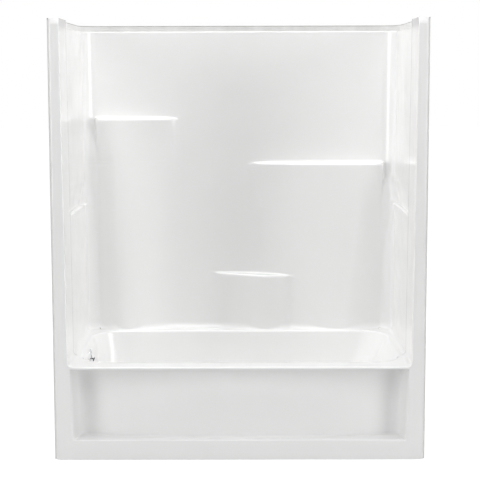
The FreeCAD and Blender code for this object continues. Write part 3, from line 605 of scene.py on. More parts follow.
def apron_face(front):
    """Place and depth of the apron behind a place on the lip."""
    end = np.clip((apron_half_at_lip - abs(front)) / (apron_half_at_lip - foot_of_jamb), 0.0, 1.0)
    chord = apron_half_at_lip - apron_bevel
    x = apron_half_at_lip - apron_bevel * end if end < 1.0 else abs(front) * chord / foot_of_jamb
    bow = apron_middle_depth + (apron_side_depth - apron_middle_depth) * (x / chord) ** 2
    bevel = (apron_half_at_lip - x) * bevel_steepness * apron_side_depth / apron_bevel
    depth = (bow ** -bow_blend + max(bevel, least_depth) ** -bow_blend) ** (-1 / bow_blend)
    return (x if front > 0 else -x), (depth if end > 0 else 0.0)


def tray_column(front):
    """One column of the tray: under the lip, down the apron and out over the toe band."""
    x, depth = apron_face(front)
    cove = min(apron_cove, cove_share_of_depth * depth)
    made = [(between(front, x, share), (depth - cove) * share, lip_bottom)
            for share in even_shares(6)]
    made += [(x, depth - cove * (1 - sin(turn)), lip_bottom - cove * (1 - cos(turn)))
             for turn in arc(5)[1:]]
    for share in even_shares(18)[1:]:
        height = between(lip_bottom - cove, toe_top + cove, share)
        made.append((x, depth, height))
    made += [(x, depth - cove * (1 - cos(turn)), toe_top + cove * (1 - sin(turn)))
             for turn in arc(5)[1:]]
    made += [(between(x, front, share), (depth - cove) * (1 - share), toe_top)
             for share in even_shares(6)[1:]]
    narrowed = []
    for x, depth, height in made:
        share = (lip_bottom - height) / (lip_bottom - toe_top)
        narrowed.append((x * between(1.0, toe_share, share), depth, height))
    return narrowed


tray_points = np.array([tray_column(front) for front in tray_front]).transpose(1, 0, 2)
tray = sheet("tray", tray_points)
print("tray", tray_points.shape)

# %% [markdown]
# ## The deck and the bathing well
# The deck's outer line is the last row of the wall sheet together with the lip. Every place on it gets
# a partner on the well's rim and another on the edge of its floor, and rings of points between them
# make the rim's rounding, the sloping walls and the large rounding at the floor.

# %% Sizes and outlines of the well
well = {"left": -665.0, "right": 675.0, "front": 92.0, "back": well_back, "radius": 120.0}
floor = {"left": -618.0, "right": 520.0, "front": 140.0, "back": 652.0, "radius": 110.0}
rim_radius = 14.0
rim_radius_at_back = 8.0
floor_round = 60.0
floor_height = 100.0
floor_fall = 0.01
drain_x = -520.0
middle_depth = 400.0

outer = [tuple(point) for point in wall_points[0]]
outer += [(x, radius, deck) for x, radius in zip(lip_line[::-1][1:-1], lip_radius[::-1][1:-1])]
outer = np.array(outer)


def run_shares(points):
    """How far along a line of points each one lies."""
    run = np.concatenate([[0.0], np.cumsum(np.hypot(*(points[1:, :2] - points[:-1, :2]).T))])
    return run / run[-1]


def outline_place(outline, side, share):
    """A place on a rounded rectangle and its outward direction."""
    left, right, front, back = (outline[key] for key in ("left", "right", "front", "back"))
    radius = outline["radius"]
    corners = {"back_left": (left + radius, back - radius, pi),
               "back_right": (right - radius, back - radius, pi / 2),
               "front_right": (right - radius, front + radius, 0.0),
               "front_left": (left + radius, front + radius, -pi / 2)}
    if side in corners:
        x, depth, start = corners[side]
        angle = start - share * pi / 2
        return x + radius * cos(angle), depth + radius * sin(angle), cos(angle), sin(angle)
    if side == "left":
        return left, between(front + radius, back - radius, share), -1.0, 0.0
    if side == "right":
        return right, between(back - radius, front + radius, share), 1.0, 0.0
    if side == "back":
        return between(left + radius, right - radius, share), back, 0.0, 1.0
    return between(right - radius, left + radius, share), front, 0.0, -1.0


def well_places():
    """Side and share of each outer place, in the order of the outer line."""
    radius = well["radius"]
    low_depth, high_depth = well["front"] + radius, well["back"] - radius
    low_x, high_x = well["left"] + radius, well["right"] - radius
    x, depth = outer[:, 0], outer[:, 1]
    at_back = (depth > high_depth) & (x > low_x) & (x < high_x)
    level = np.abs(outer[:, 2] - deck) < merge_gap
    at_front = (depth < low_depth) & level & (x > low_x) & (x < high_x)
    at_left = (x < low_x) & (depth >= low_depth) & (depth <= high_depth)
    at_right = (x > high_x) & (depth >= low_depth) & (depth <= high_depth)
    names = np.full(len(outer), "", dtype=object)
    shares = np.zeros(len(outer))
    names[at_back], names[at_front], names[at_left], names[at_right] = "back", "front", "left", "right"
    shares[at_back] = (x[at_back] - low_x) / (high_x - low_x)
    shares[at_front] = (high_x - x[at_front]) / (high_x - low_x)
    shares[at_left] = (depth[at_left] - low_depth) / (high_depth - low_depth)
    shares[at_right] = (high_depth - depth[at_right]) / (high_depth - low_depth)
    corner_names = {("left", "back"): "back_left", ("back", "right"): "back_right",
                    ("right", "front"): "front_right", ("front", "left"): "front_left"}
    count = len(outer)
    start = int(np.argmax(at_left))
    order = [(start + step) % count for step in range(count)]
    position = 0
    while position < count:
        if names[order[position]]:
            position += 1
            continue
        stop = position
        while stop < count and not names[order[stop]]:
            stop += 1
        before = order[position - 1]
        after = order[stop % count]
        group = order[position:stop]
        share = run_shares(outer[[before] + group + [after]])[1:-1]
        for index, value in zip(group, share):
            names[index] = corner_names[(names[before], names[after])]
            shares[index] = value
        position = stop
    return names, shares


print("places on the deck's outer line", len(outer))

# %% [markdown]
# ### The rings of the well
# The rim is rounded through what is left of a right angle once the wall leans, and so is the floor's
# rounding. Between the deck's outer line and the rim three rings share out the flat deck, and between the
# rim and the floor eleven share out the sloping wall.

# %% Rings of the well
place_names, place_shares = well_places()
rim = np.array([outline_place(well, *pair) for pair in zip(place_names, place_shares)])
edge = np.array([outline_place(floor, *pair) for pair in zip(place_names, place_shares)])
out = rim[:, 2:]
floor_at = floor_height + (edge[:, 0] - drain_x) * floor_fall
run_out = ((rim[:, :2] - edge[:, :2]) * out).sum(axis=1)
lean = np.arctan(run_out / (deck - floor_height))
backness = np.clip(out[:, 1], 0.0, 1.0)
rim_round = between(rim_radius, rim_radius_at_back, backness)


def ring(base, outward, height):
    return np.stack([base[:, 0] + out[:, 0] * outward, base[:, 1] + out[:, 1] * outward,
                     height + np.zeros(len(base))], axis=-1)


deck_shares = (0.15, 0.5, 0.85)
wall_rings = 12
gather_share = 0.02
rings = [outer]
rim_tangent = rim_round / np.tan((pi / 2 + lean) / 2)
rim_start = ring(rim, rim_tangent, deck)
for share in deck_shares:
    rings.append(between(outer, rim_start, share))
for share in even_shares(7):
    turn = pi / 2 + share * (pi / 2 - lean)
    rings.append(ring(rim, rim_tangent + rim_round * np.cos(turn),
                      deck - rim_round + rim_round * np.sin(turn)))
rim_foot = rings[-1]
floor_tangent = floor_round / np.tan((pi / 2 + lean) / 2)
floor_rings = []
for share in even_shares(9):
    turn = -lean - share * (pi / 2 - lean)
    floor_rings.append(ring(edge, -floor_tangent + floor_round * np.cos(turn),
                            floor_at + floor_round + floor_round * np.sin(turn)))
for share in even_shares(wall_rings + 1)[1:-1]:
    rings.append(between(rim_foot, floor_rings[0], share))
rings += floor_rings
flat = floor_rings[-1].copy()
flat[:, :2] = between(flat[:, :2], np.array([drain_x / 4, middle_depth]), gather_share)
flat[:, 2] = floor_height + (flat[:, 0] - drain_x) * floor_fall
rings.append(flat)
rings = np.array(rings)
closed = np.concatenate([rings, rings[:, :1]], axis=1)
basin = sheet("basin", closed)
print("well rings", rings.shape)

# %% [markdown]
# ### The drain's seat
# The floor is flat with a slight fall to the drain, and the drain's flange lies in a shallow round recess.
# The recess is a small sheet of circles, and the flat floor between it and the well's rings is filled by
# the fill operator, which makes a face net between two closed loops.

# %% The floor of the well, with the hole for the drain
drain_recess = 38.0
drain_hole = 25.0
drain_drop = 3.0
seat_margin = 3.0
seat_round = 0.6
seat_hollow = 0.5
circle_steps = 64


def drain_circle(radius, height):
    turns_round = [2 * pi * step / circle_steps for step in range(circle_steps + 1)]
    return [(drain_x + radius * cos(turn), middle_depth + radius * sin(turn), height)
            for turn in turns_round]


drain_rows = [drain_circle(drain_recess + seat_margin, floor_height),
              drain_circle(drain_recess + seat_round, floor_height),
              drain_circle(drain_recess, floor_height - seat_round),
              drain_circle(drain_recess, floor_height - drain_drop + seat_hollow),
              drain_circle(drain_recess - seat_hollow, floor_height - drain_drop),
              drain_circle(drain_hole, floor_height - drain_drop)]
for row in drain_rows[:2]:
    for index, (x, depth, height) in enumerate(row):
        row[index] = (x, depth, height + (x - drain_x) * floor_fall)
drain_seat = sheet("drain_seat", drain_rows)
deselect()
bpy.ops.mesh.primitive_circle_add(vertices=3, radius=MM)
floor_fill = bpy.context.object
floor_fill.name = "floor_fill"
vertices, edges = [], []
for loop in (flat, np.array(drain_rows[0][:-1])):
    start = len(vertices)
    count = len(loop)
    vertices += [(x * MM, (depth + front_y) * MM, height * MM) for x, depth, height in loop]
    edges += [(start + step, start + (step + 1) % count) for step in range(count)]
floor_fill.data.clear_geometry()
floor_fill.data.from_pydata(vertices, edges, [])
make_active(floor_fill)
bpy.ops.object.mode_set(mode="EDIT")
bpy.ops.mesh.select_all(action="SELECT")
bpy.ops.mesh.remove_doubles(threshold=merge_gap * MM)
bpy.ops.mesh.fill(use_beauty=True)
bpy.ops.object.mode_set(mode="OBJECT")
print("floor faces", len(floor_fill.data.polygons))

# %% [markdown]
# ### The overflow's seat
# The end wall of the well leans, and the overflow plate needs an upright face to lie on. So a round seat is
# pressed into the wall. It is a sheet of circles that starts on the leaning wall and ends on the upright
# seat, with a hole for the elbow behind it.

# %% The seat of the overflow plate, in the left end of the well
overflow_height = 336.0
seat_radius = 37.5
seat_place = -664.0
overflow_hole = 28.0
end_wall_lean = (well["left"] - floor["left"]) / (deck - floor_height)


def end_wall(height):
    return well["left"] - end_wall_lean * (deck - height)


def upright_circle(radius, back=None, offset=0.0):
    """A circle on the leaning end wall, or upright at a place behind it."""
    made = []
    for step in range(circle_steps + 1):
        turn = 2 * pi * step / circle_steps
        height = overflow_height + radius * sin(turn)
        x = end_wall(height) - offset if back is None else back
        made.append((x, middle_depth + radius * cos(turn), height))
    return made


overflow_seat = sheet("overflow_seat", [upright_circle(seat_radius + seat_margin),
                                        upright_circle(seat_radius + seat_round),
                                        upright_circle(seat_radius, offset=seat_round),
                                        upright_circle(seat_radius, seat_place + seat_hollow),
                                        upright_circle(seat_radius - seat_hollow, seat_place),
                                        upright_circle(overflow_hole, seat_place)])
print("end wall leans", end_wall_lean)

# %% [markdown]
# ## One moulding
# The real unit leaves its mould in one piece. The sheets share their edge points, so joining them and
# merging by distance makes one net, and its normals are then made to agree.

# %% Join the sheets into the moulding
sheet_merge_gap = 0.05
shell_parts = [walls, *jambs, lip, lip_face, toe_face, *feet, tray, basin, drain_seat, floor_fill]
make_active(walls)
for part in shell_parts:
    part.select_set(True)
bpy.ops.object.join()
moulding = bpy.context.object
moulding.name = "moulded_shell"
bpy.ops.object.mode_set(mode="EDIT")
bpy.ops.mesh.select_all(action="SELECT")
bpy.ops.mesh.remove_doubles(threshold=sheet_merge_gap * MM)
bpy.ops.mesh.normals_make_consistent(inside=False)
bpy.ops.object.mode_set(mode="OBJECT")
print("moulding", len(moulding.data.vertices), "vertices", len(moulding.data.polygons), "faces")

# %% [markdown]
# ### Rounded edges round the apron
# A mould has no knife edges. The edges where the lip, the jambs and the toe band turn into the apron's
# recess are picked by their place and angle, and get a small bevel.

# %% Round the front edges of the apron's tray
tray_edge_round = 2.5
least_fold = radians(50.0)
front_slack = 0.3
height_slack = 1.0


def select_edges(piece, wanted):
    """Leaves the piece in edit mode with only the wanted edges selected, and counts them."""
    make_active(piece)
    bpy.ops.object.mode_set(mode="EDIT")
    bpy.ops.mesh.select_all(action="DESELECT")
    bpy.ops.mesh.select_mode(type="EDGE")
    bpy.ops.object.mode_set(mode="OBJECT")
    mesh = bmesh.new()
    mesh.from_mesh(piece.data)
    count = 0
    for line in mesh.edges:
        if wanted(line, [vertex.co / MM for vertex in line.verts]):
            line.select_set(True)
            count += 1
    mesh.to_mesh(piece.data)
    mesh.free()
    bpy.ops.object.mode_set(mode="EDIT")
    return count


def tray_front_edge(line, ends):
    in_front = all(abs(end.y - front_y) < front_slack for end in ends)
    beside_tray = all(toe_top - height_slack < end.z < lip_bottom + height_slack for end in ends)
    if not (in_front and beside_tray) or len(line.link_faces) != 2:
        return False
    return abs(line.link_faces[0].normal.dot(line.link_faces[1].normal)) < cos(least_fold)


print("edges rounded", select_edges(moulding, tray_front_edge))
bpy.ops.mesh.bevel(offset=tray_edge_round * MM, segments=3, affect="EDGES")
bpy.ops.object.mode_set(mode="OBJECT")

# %% [markdown]
# ### Opening the end wall
# The faces where the seat comes are taken out, the seat is joined in, and the fill operator closes the
# ring between them.

# %% Open the end wall round the overflow and fill it up to the seat
seat_clearance = 1.0
block_reach = seat_radius + seat_margin + seat_clearance
block_back = seat_place - 5.0
block_front = -600.0
block_top = 378.0
mesh = bmesh.new()
mesh.from_mesh(moulding.data)
cut_out = []
for face in mesh.faces:
    centre = face.calc_center_median() / MM
    spots = [vertex.co / MM for vertex in face.verts]
    beside = min(abs(spot.y - front_y - middle_depth) for spot in spots) < block_reach
    level = min(abs(spot.z - overflow_height) for spot in spots) < block_reach
    under_rim = max(spot.z for spot in spots) < block_top
    if beside and level and under_rim and block_back < centre.x < block_front:
        cut_out.append(face)
bmesh.ops.delete(mesh, geom=cut_out, context="FACES")
mesh.to_mesh(moulding.data)
mesh.free()
print("faces cut out", len(cut_out))
make_active(moulding)
overflow_seat.select_set(True)
bpy.ops.object.join()


widest_opening = 3 * seat_radius
opening_back = -680.0


def round_the_opening(line, ends):
    across = [np.hypot(end.y - front_y - middle_depth, end.z - overflow_height) for end in ends]
    near = all(seat_radius + seat_clearance < reach < widest_opening for reach in across)
    return line.is_boundary and near and all(opening_back < end.x < block_front for end in ends)


print("edges round the opening", select_edges(moulding, round_the_opening))
bpy.ops.mesh.fill(use_beauty=True)
bpy.ops.mesh.select_all(action="SELECT")
bpy.ops.mesh.normals_make_consistent(inside=False)
bpy.ops.object.mode_set(mode="OBJECT")
upward = sum(face.area * face.normal.z for face in moulding.data.polygons)
if upward < 0:
    moulding.data.flip_normals()
print("faces look up by", upward, "square metres")

# %% [markdown]
# ## Thickness and smoothness
# The moulding is a sheet of laminate about 5 mm thick. Solidify grows it away from the bather's side, and
# its second material slot shows the raw glass-fibre back.

# %% Give the moulding its thickness
smooth_angle = radians(38.0)
make_active(moulding)
solid = moulding.modifiers.new("laminate", "SOLIDIFY")
solid.thickness = skin * MM
solid.offset = -1.0
solid.material_offset = 1
solid.material_offset_rim = 1
solid.use_even_offset = False
moulding.data.materials.append(None)
moulding.data.materials.append(None)
bpy.ops.object.modifier_apply(modifier=solid.name)
bpy.ops.object.shade_smooth_by_angle(angle=smooth_angle)
triangles = sum(len(face.vertices) - 2 for face in moulding.data.polygons)
print("moulding triangles", triangles)
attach(moulding, "shell")
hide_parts("tub_shower_shell")


# %% [markdown]
# ## Materials
# Each finish is a node tree on the piece's own Object coordinates. Effects that several finishes share
# are node groups, built once.

# %% Helpers for node trees
def add_node(tree, kind, **settings):
    node = tree.nodes.new(kind)
    for key, value in settings.items():
        if key in node.inputs.keys():
            node.inputs[key].default_value = value
        else:
            setattr(node, key, value)
    return node


def new_group(name, inputs, outputs):
    group = bpy.data.node_groups.new(name, "ShaderNodeTree")
    for label, kind, value in inputs:
        socket = group.interface.new_socket(label, in_out="INPUT", socket_type=kind)
        if value is not None:
            socket.default_value = value
    for label, kind in outputs:
        group.interface.new_socket(label, in_out="OUTPUT", socket_type=kind)
    return group, add_node(group, "NodeGroupInput"), add_node(group, "NodeGroupOutput")


def place_group(tree, group, **values):
    node = add_node(tree, "ShaderNodeGroup", node_tree=group)
    for key, value in values.items():
        node.inputs[key.replace("_", " ")].default_value = value
    return node


def new_material(name):
    made = bpy.data.materials.new(name)
    made.use_nodes = True
    tree = made.node_tree
    shader = tree.nodes["Principled BSDF"]
    place = add_node(tree, "ShaderNodeTexCoord")
    return made, tree, shader, place.outputs["Object"]


def ramp(tree, factor, stops):
    node = add_node(tree, "ShaderNodeValToRGB")
    elements = node.color_ramp.elements
    while len(elements) < len(stops):
        elements.new(0.5)
    for element, (position, color) in zip(elements, stops):
        element.position = position
        element.color = (*color, 1.0) if isinstance(color, tuple) else (color, color, color, 1.0)
    tree.links.new(factor, node.inputs["Fac"])
    return node.outputs["Color"]


def two_tones(tree, factor, tones):
    """A colour that goes from the first tone to the second."""
    return ramp(tree, factor, list(zip((0.0, 1.0), tones)))


def mixed(tree, factor, low, high):
    node = add_node(tree, "ShaderNodeMix", data_type="RGBA")
    tree.links.new(factor, node.inputs[0])
    tree.links.new(low, node.inputs[6])
    tree.links.new(high, node.inputs[7])
    return node.outputs[2]


def bump(tree, height, distance, strength, normal=None):
    node = add_node(tree, "ShaderNodeBump", Strength=strength, Distance=distance)
    tree.links.new(height, node.inputs["Height"])
    if normal is not None:
        tree.links.new(normal, node.inputs["Normal"])
    return node.outputs["Normal"]


# %% [markdown]
# ### Uneven tone
# No surface has one tone. This group gives a soft mottle between two values, and every finish uses it for
# its colour or its roughness.

# %% Shared effect: uneven tone
group, start, end = new_group(
    "uneven_tone",
    [("Vector", "NodeSocketVector", None), ("Scale", "NodeSocketFloat", 5.0),
     ("Low", "NodeSocketFloat", 0.0), ("High", "NodeSocketFloat", 1.0)],
    [("Value", "NodeSocketFloat")])
noise = add_node(group, "ShaderNodeTexNoise", Detail=4.0, Roughness=0.6)
spread = add_node(group, "ShaderNodeMapRange", **{"From Min": 0.3, "From Max": 0.7})
group.links.new(start.outputs["Vector"], noise.inputs["Vector"])
group.links.new(start.outputs["Scale"], noise.inputs["Scale"])
group.links.new(noise.outputs["Fac"], spread.inputs["Value"])
group.links.new(start.outputs["Low"], spread.inputs["To Min"])
group.links.new(start.outputs["High"], spread.inputs["To Max"])
group.links.new(spread.outputs["Result"], end.inputs["Value"])
uneven_tone = group


def tone(tree, place, scale, low, high):
    node = place_group(tree, uneven_tone, Scale=scale, Low=low, High=high)
    tree.links.new(place, node.inputs["Vector"])
    return node.outputs["Value"]


def mottled(tree, place, scale, tones):
    """A colour that wanders between two tones."""
    return two_tones(tree, tone(tree, place, scale, 0.0, 1.0), tones)


# %% [markdown]
# ### White gelcoat
# Gelcoat takes the mould's polish: it is glossy, with a very slight orange peel and long soft waves
# where the laminate behind it shrank. Both are bumps of about a tenth of a millimetre or less.

# %% Gelcoat
gelcoat_whites = ((0.94, 0.94, 0.936), (0.955, 0.955, 0.951))
gelcoat_roughness = (0.13, 0.2)
wave_scale, wave_height, wave_strength = 4.5, 1.0, 0.12
peel_scale, peel_height, peel_strength = 420.0, 0.03, 0.4
gelcoat, tree, shader, place = new_material("white_gelcoat")
tree.links.new(mottled(tree, place, 3.0, gelcoat_whites), shader.inputs["Base Color"])
tree.links.new(tone(tree, place, 9.0, *gelcoat_roughness), shader.inputs["Roughness"])
waves = add_node(tree, "ShaderNodeTexNoise", Scale=wave_scale, Detail=1.0)
peel = add_node(tree, "ShaderNodeTexNoise", Scale=peel_scale, Detail=2.0)
for texture in (waves, peel):
    tree.links.new(place, texture.inputs["Vector"])
normal = bump(tree, waves.outputs["Fac"], wave_height * MM, wave_strength)
normal = bump(tree, peel.outputs["Fac"], peel_height * MM, peel_strength, normal)
tree.links.new(normal, shader.inputs["Normal"])
shader.inputs["IOR"].default_value = 1.5
shader.inputs["Coat Weight"].default_value = 0.25
shader.inputs["Coat Roughness"].default_value = 0.06
print("gelcoat made")

# %% [markdown]
# ### The nailing flange
# The flange is trimmed, not polished, so it is duller than the walls. Its greyer tone is painted shade, and
# a darker band along its top is painted shade as well as its sawn edge. The height in Object coordinates
# picks the band out.

# %% Flange finish
# Painted shade: the flange's greys are darker than the gelcoat, and a band along its top is darker still,
# for its sawn edge and painted shade together.
dark_top_band_low = total_height - 7.0
dark_top_band_high = total_height - 3.0
flange_greys_with_painted_shade = ((0.70, 0.70, 0.69), (0.80, 0.80, 0.795))
sawn_edge_and_painted_shade_greys = ((0.36, 0.36, 0.34), (0.5, 0.5, 0.48))
flange_coat_with_painted_shade, tree, shader, place = new_material("flange_coat_with_painted_shade")
parts = add_node(tree, "ShaderNodeSeparateXYZ")
tree.links.new(place, parts.inputs["Vector"])
dark_top_band_zone = add_node(tree, "ShaderNodeMapRange", **{"From Min": dark_top_band_low * MM,
                                                    "From Max": dark_top_band_high * MM})
tree.links.new(parts.outputs["Z"], dark_top_band_zone.inputs["Value"])
smear = tone(tree, place, 14.0, 0.0, 1.0)
# Both tones carry painted shade: the flange's grey face and its darker top band.
plain = two_tones(tree, smear, flange_greys_with_painted_shade)
sawn = two_tones(tree, smear, sawn_edge_and_painted_shade_greys)
tree.links.new(mixed(tree, dark_top_band_zone.outputs["Result"], plain, sawn), shader.inputs["Base Color"])
tree.links.new(tone(tree, place, 30.0, 0.38, 0.55), shader.inputs["Roughness"])
tree.links.new(bump(tree, smear, 0.4 * MM, 0.4), shader.inputs["Normal"])
print("flange finish made")

# %% [markdown]
# ### The laminate's back
# Behind the gelcoat lies chopped-strand mat in resin, rolled on by hand. Strands lie in all directions,
# so a node group lays stretched noise along several of them and keeps the strongest.

# %% Shared effect: strands
group, start, end = new_group(
    "strands", [("Vector", "NodeSocketVector", None), ("Scale", "NodeSocketFloat", 60.0)],
    [("Value", "NodeSocketFloat")])
strand_turns = ((0.3, 0.2, 0.1), (1.2, 0.5, 2.0), (0.4, 1.3, 0.9), (2.1, 0.8, 1.5))
strand_stretch = (1.0, 1.0, 11.0)
strongest = None
for turn in strand_turns:
    lay = add_node(group, "ShaderNodeMapping", vector_type="TEXTURE", Rotation=turn, Scale=strand_stretch)
    fibre = add_node(group, "ShaderNodeTexNoise", Detail=1.0, Roughness=0.4)
    group.links.new(start.outputs["Vector"], lay.inputs["Vector"])
    group.links.new(lay.outputs["Vector"], fibre.inputs["Vector"])
    group.links.new(start.outputs["Scale"], fibre.inputs["Scale"])
    if strongest is None:
        strongest = fibre.outputs["Fac"]
    else:
        keep = add_node(group, "ShaderNodeMath", operation="MAXIMUM")
        group.links.new(strongest, keep.inputs[0])
        group.links.new(fibre.outputs["Fac"], keep.inputs[1])
        strongest = keep.outputs[0]
clear = add_node(group, "ShaderNodeMapRange", **{"From Min": 0.5, "From Max": 0.78})
group.links.new(strongest, clear.inputs["Value"])
group.links.new(clear.outputs["Result"], end.inputs["Value"])
strands = group
print("strand directions", len(strand_turns))

# %% [markdown]
# The resin between the strands is yellower and darker than the glass, and both wander in tone. A roller's
# marks are broad low waves, and the strands stand proud of them.

# %% Laminate
resin_tones = ((0.56, 0.53, 0.40), (0.67, 0.65, 0.53))
glass_tones = ((0.72, 0.71, 0.61), (0.84, 0.83, 0.75))
laminate, tree, shader, place = new_material("laminate_back")
fibres = place_group(tree, strands, Scale=150.0)
tree.links.new(place, fibres.inputs["Vector"])
resin = mottled(tree, place, 7.0, resin_tones)
glass = mottled(tree, place, 40.0, glass_tones)
tree.links.new(mixed(tree, fibres.outputs["Value"], resin, glass), shader.inputs["Base Color"])
tree.links.new(tone(tree, place, 22.0, 0.32, 0.6), shader.inputs["Roughness"])
rolled = add_node(tree, "ShaderNodeTexNoise", Scale=26.0, Detail=3.0)
tree.links.new(place, rolled.inputs["Vector"])
normal = bump(tree, rolled.outputs["Fac"], 4.0 * MM, 0.5)
tree.links.new(bump(tree, fibres.outputs["Value"], 0.6 * MM, 0.8, normal), shader.inputs["Normal"])
print("laminate finish made")

# %% [markdown]
# ### Three finishes on one moulding
# Gelcoat covers what a bather sees and laminate covers the back, as Solidify's second slot. The flange's
# finish, with its painted shade, goes on faces above the flange's foot and on the outermost strip of the
# jambs, where it paints a shade line along the jambs' outer edge. Where the skin's back folds in the tight
# valleys behind the deck, the folded faces take the gelcoat.

# %% Put the three finishes on the moulding
coat_slot, laminate_slot, flange_slot = 0, 1, 2
flange_margin = 1.0
strip_margin = 2.0
fold_low, fold_high = deck - 4.0, deck + 30.0
fold_depth = 600.0
fold_slope = 0.3
valley_wide = (640.0, 675.0)
valley_depth = (725.0, 775.0)
valley_top = deck + 12.0
moulding.data.materials[coat_slot] = gelcoat
moulding.data.materials[laminate_slot] = laminate
moulding.data.materials.append(flange_coat_with_painted_shade)
flange_faces = folded_faces = 0
for face in moulding.data.polygons:
    wide = abs(face.center.x) / MM
    depth = face.center.y / MM - front_y
    height = face.center.z / MM
    if face.material_index == coat_slot:
        # The flange's grey is painted shade, on the flange and as a dark line along the jambs' outer strip.
        at_top = height > flange_foot + flange_margin and depth > strip_depth + step_run
        at_side = wide > outer_face + strip_margin and depth < lip_setback + skin + flange_margin
        if at_top or at_side:
            face.material_index = flange_slot
            flange_faces += 1
    elif fold_low < height < fold_high:
        across_valley = valley_wide[0] < wide < valley_wide[1]
        along_valley = valley_depth[0] < depth < valley_depth[1]
        in_valley = across_valley and along_valley and height < valley_top
        if in_valley or face.normal.z > fold_slope and depth > fold_depth:
            face.material_index = coat_slot
            folded_faces += 1
print("flange faces", flange_faces, "folded faces", folded_faces)

# %% [markdown]
# ### Timber
# Bearers, legs, braces and stiffeners are sawn softwood. The grain is noise stretched along the piece,
# with darker late wood, a few knots and a rough sawn surface. The group wants Z along the grain, so a
# Mapping node turns the coordinates for a piece that lies down.

# %% Shared effect: wood grain
group, start, end = new_group(
    "wood_grain", [("Vector", "NodeSocketVector", None), ("Scale", "NodeSocketFloat", 1.0)],
    [("Grain", "NodeSocketFloat"), ("Pores", "NodeSocketFloat")])
ring_stretch = (46.0, 46.0, 1.6)
vessel_stretch = (420.0, 420.0, 14.0)
stretch = add_node(group, "ShaderNodeMapping", Scale=ring_stretch)
pore_stretch = add_node(group, "ShaderNodeMapping", Scale=vessel_stretch)
growth = add_node(group, "ShaderNodeTexNoise", Detail=4.0, Roughness=0.55, Distortion=0.6)
pores = add_node(group, "ShaderNodeTexNoise", Scale=1.0, Detail=2.0)
late = add_node(group, "ShaderNodeMapRange", **{"From Min": 0.38, "From Max": 0.66})
group.links.new(start.outputs["Vector"], stretch.inputs["Vector"])
group.links.new(start.outputs["Vector"], pore_stretch.inputs["Vector"])
group.links.new(stretch.outputs["Vector"], growth.inputs["Vector"])
group.links.new(start.outputs["Scale"], growth.inputs["Scale"])
group.links.new(pore_stretch.outputs["Vector"], pores.inputs["Vector"])
group.links.new(growth.outputs["Fac"], late.inputs["Value"])
group.links.new(late.outputs["Result"], end.inputs["Grain"])
group.links.new(pores.outputs["Fac"], end.inputs["Pores"])
wood_grain = group
print("effects", [made.name for made in (uneven_tone, strands, wood_grain)])

# %% [markdown]
# The pine finish uses the grain twice, for the colour of early and late wood and for its low ridges, and
# the pores for the tone of the bark in a knot. Uprights and lying pieces get one material each.

# %% Pine
quarter = pi / 2
pine_tones = [(0.0, (0.72, 0.53, 0.31)), (0.7, (0.63, 0.43, 0.22)), (1.0, (0.47, 0.28, 0.12))]
bark_tones = ((0.16, 0.07, 0.03), (0.28, 0.15, 0.07))


def grain_nodes(tree, place, turn, scale):
    lay = add_node(tree, "ShaderNodeMapping", Rotation=turn)
    tree.links.new(place, lay.inputs["Vector"])
    grain = place_group(tree, wood_grain, Scale=scale)
    tree.links.new(lay.outputs["Vector"], grain.inputs["Vector"])
    return grain


def pine_finish(name, turn):
    made, tree, shader, place = new_material(name)
    grain = grain_nodes(tree, place, turn, 1.0)
    knot = add_node(tree, "ShaderNodeTexVoronoi", Scale=5.0)
    tree.links.new(place, knot.inputs["Vector"])
    knot_share = add_node(tree, "ShaderNodeMapRange", **{"From Min": 0.10, "From Max": 0.05})
    tree.links.new(knot.outputs["Distance"], knot_share.inputs["Value"])
    wood = ramp(tree, grain.outputs["Grain"], pine_tones)
    bark = two_tones(tree, grain.outputs["Pores"], bark_tones)
    tree.links.new(mixed(tree, knot_share.outputs["Result"], wood, bark), shader.inputs["Base Color"])
    tree.links.new(tone(tree, place, 60.0, 0.55, 0.75), shader.inputs["Roughness"])
    normal = bump(tree, grain.outputs["Grain"], 0.4 * MM, 0.5)
    tree.links.new(bump(tree, grain.outputs["Pores"], 0.2 * MM, 0.5, normal), shader.inputs["Normal"])
    return made


pine_upright = pine_finish("pine_upright", (0.0, 0.0, 0.0))
pine_lying = pine_finish("pine_lying", (quarter, 0.0, 0.0))
print("pine finishes made")

# %% [markdown]
# ### Plywood
# Plies are thin layers across the board's thickness, so stripes that depend only on that coordinate show
# on the sawn edges and stay one even shade on the faces, where the veneer's grain takes over. The walls
# lean out a little, and the boards behind them too, so the lean is taken off before the plies are counted
# from the board's outer face.

# %% Plywood
ply_thickness = 2.6
board_thickness = 12.0
glue_from_share, glue_to_share = 0.42, 0.58
veneer_tones = ((0.70, 0.53, 0.33), (0.55, 0.37, 0.2))
cross_ply_tones = ((0.42, 0.27, 0.14), (0.55, 0.38, 0.21))


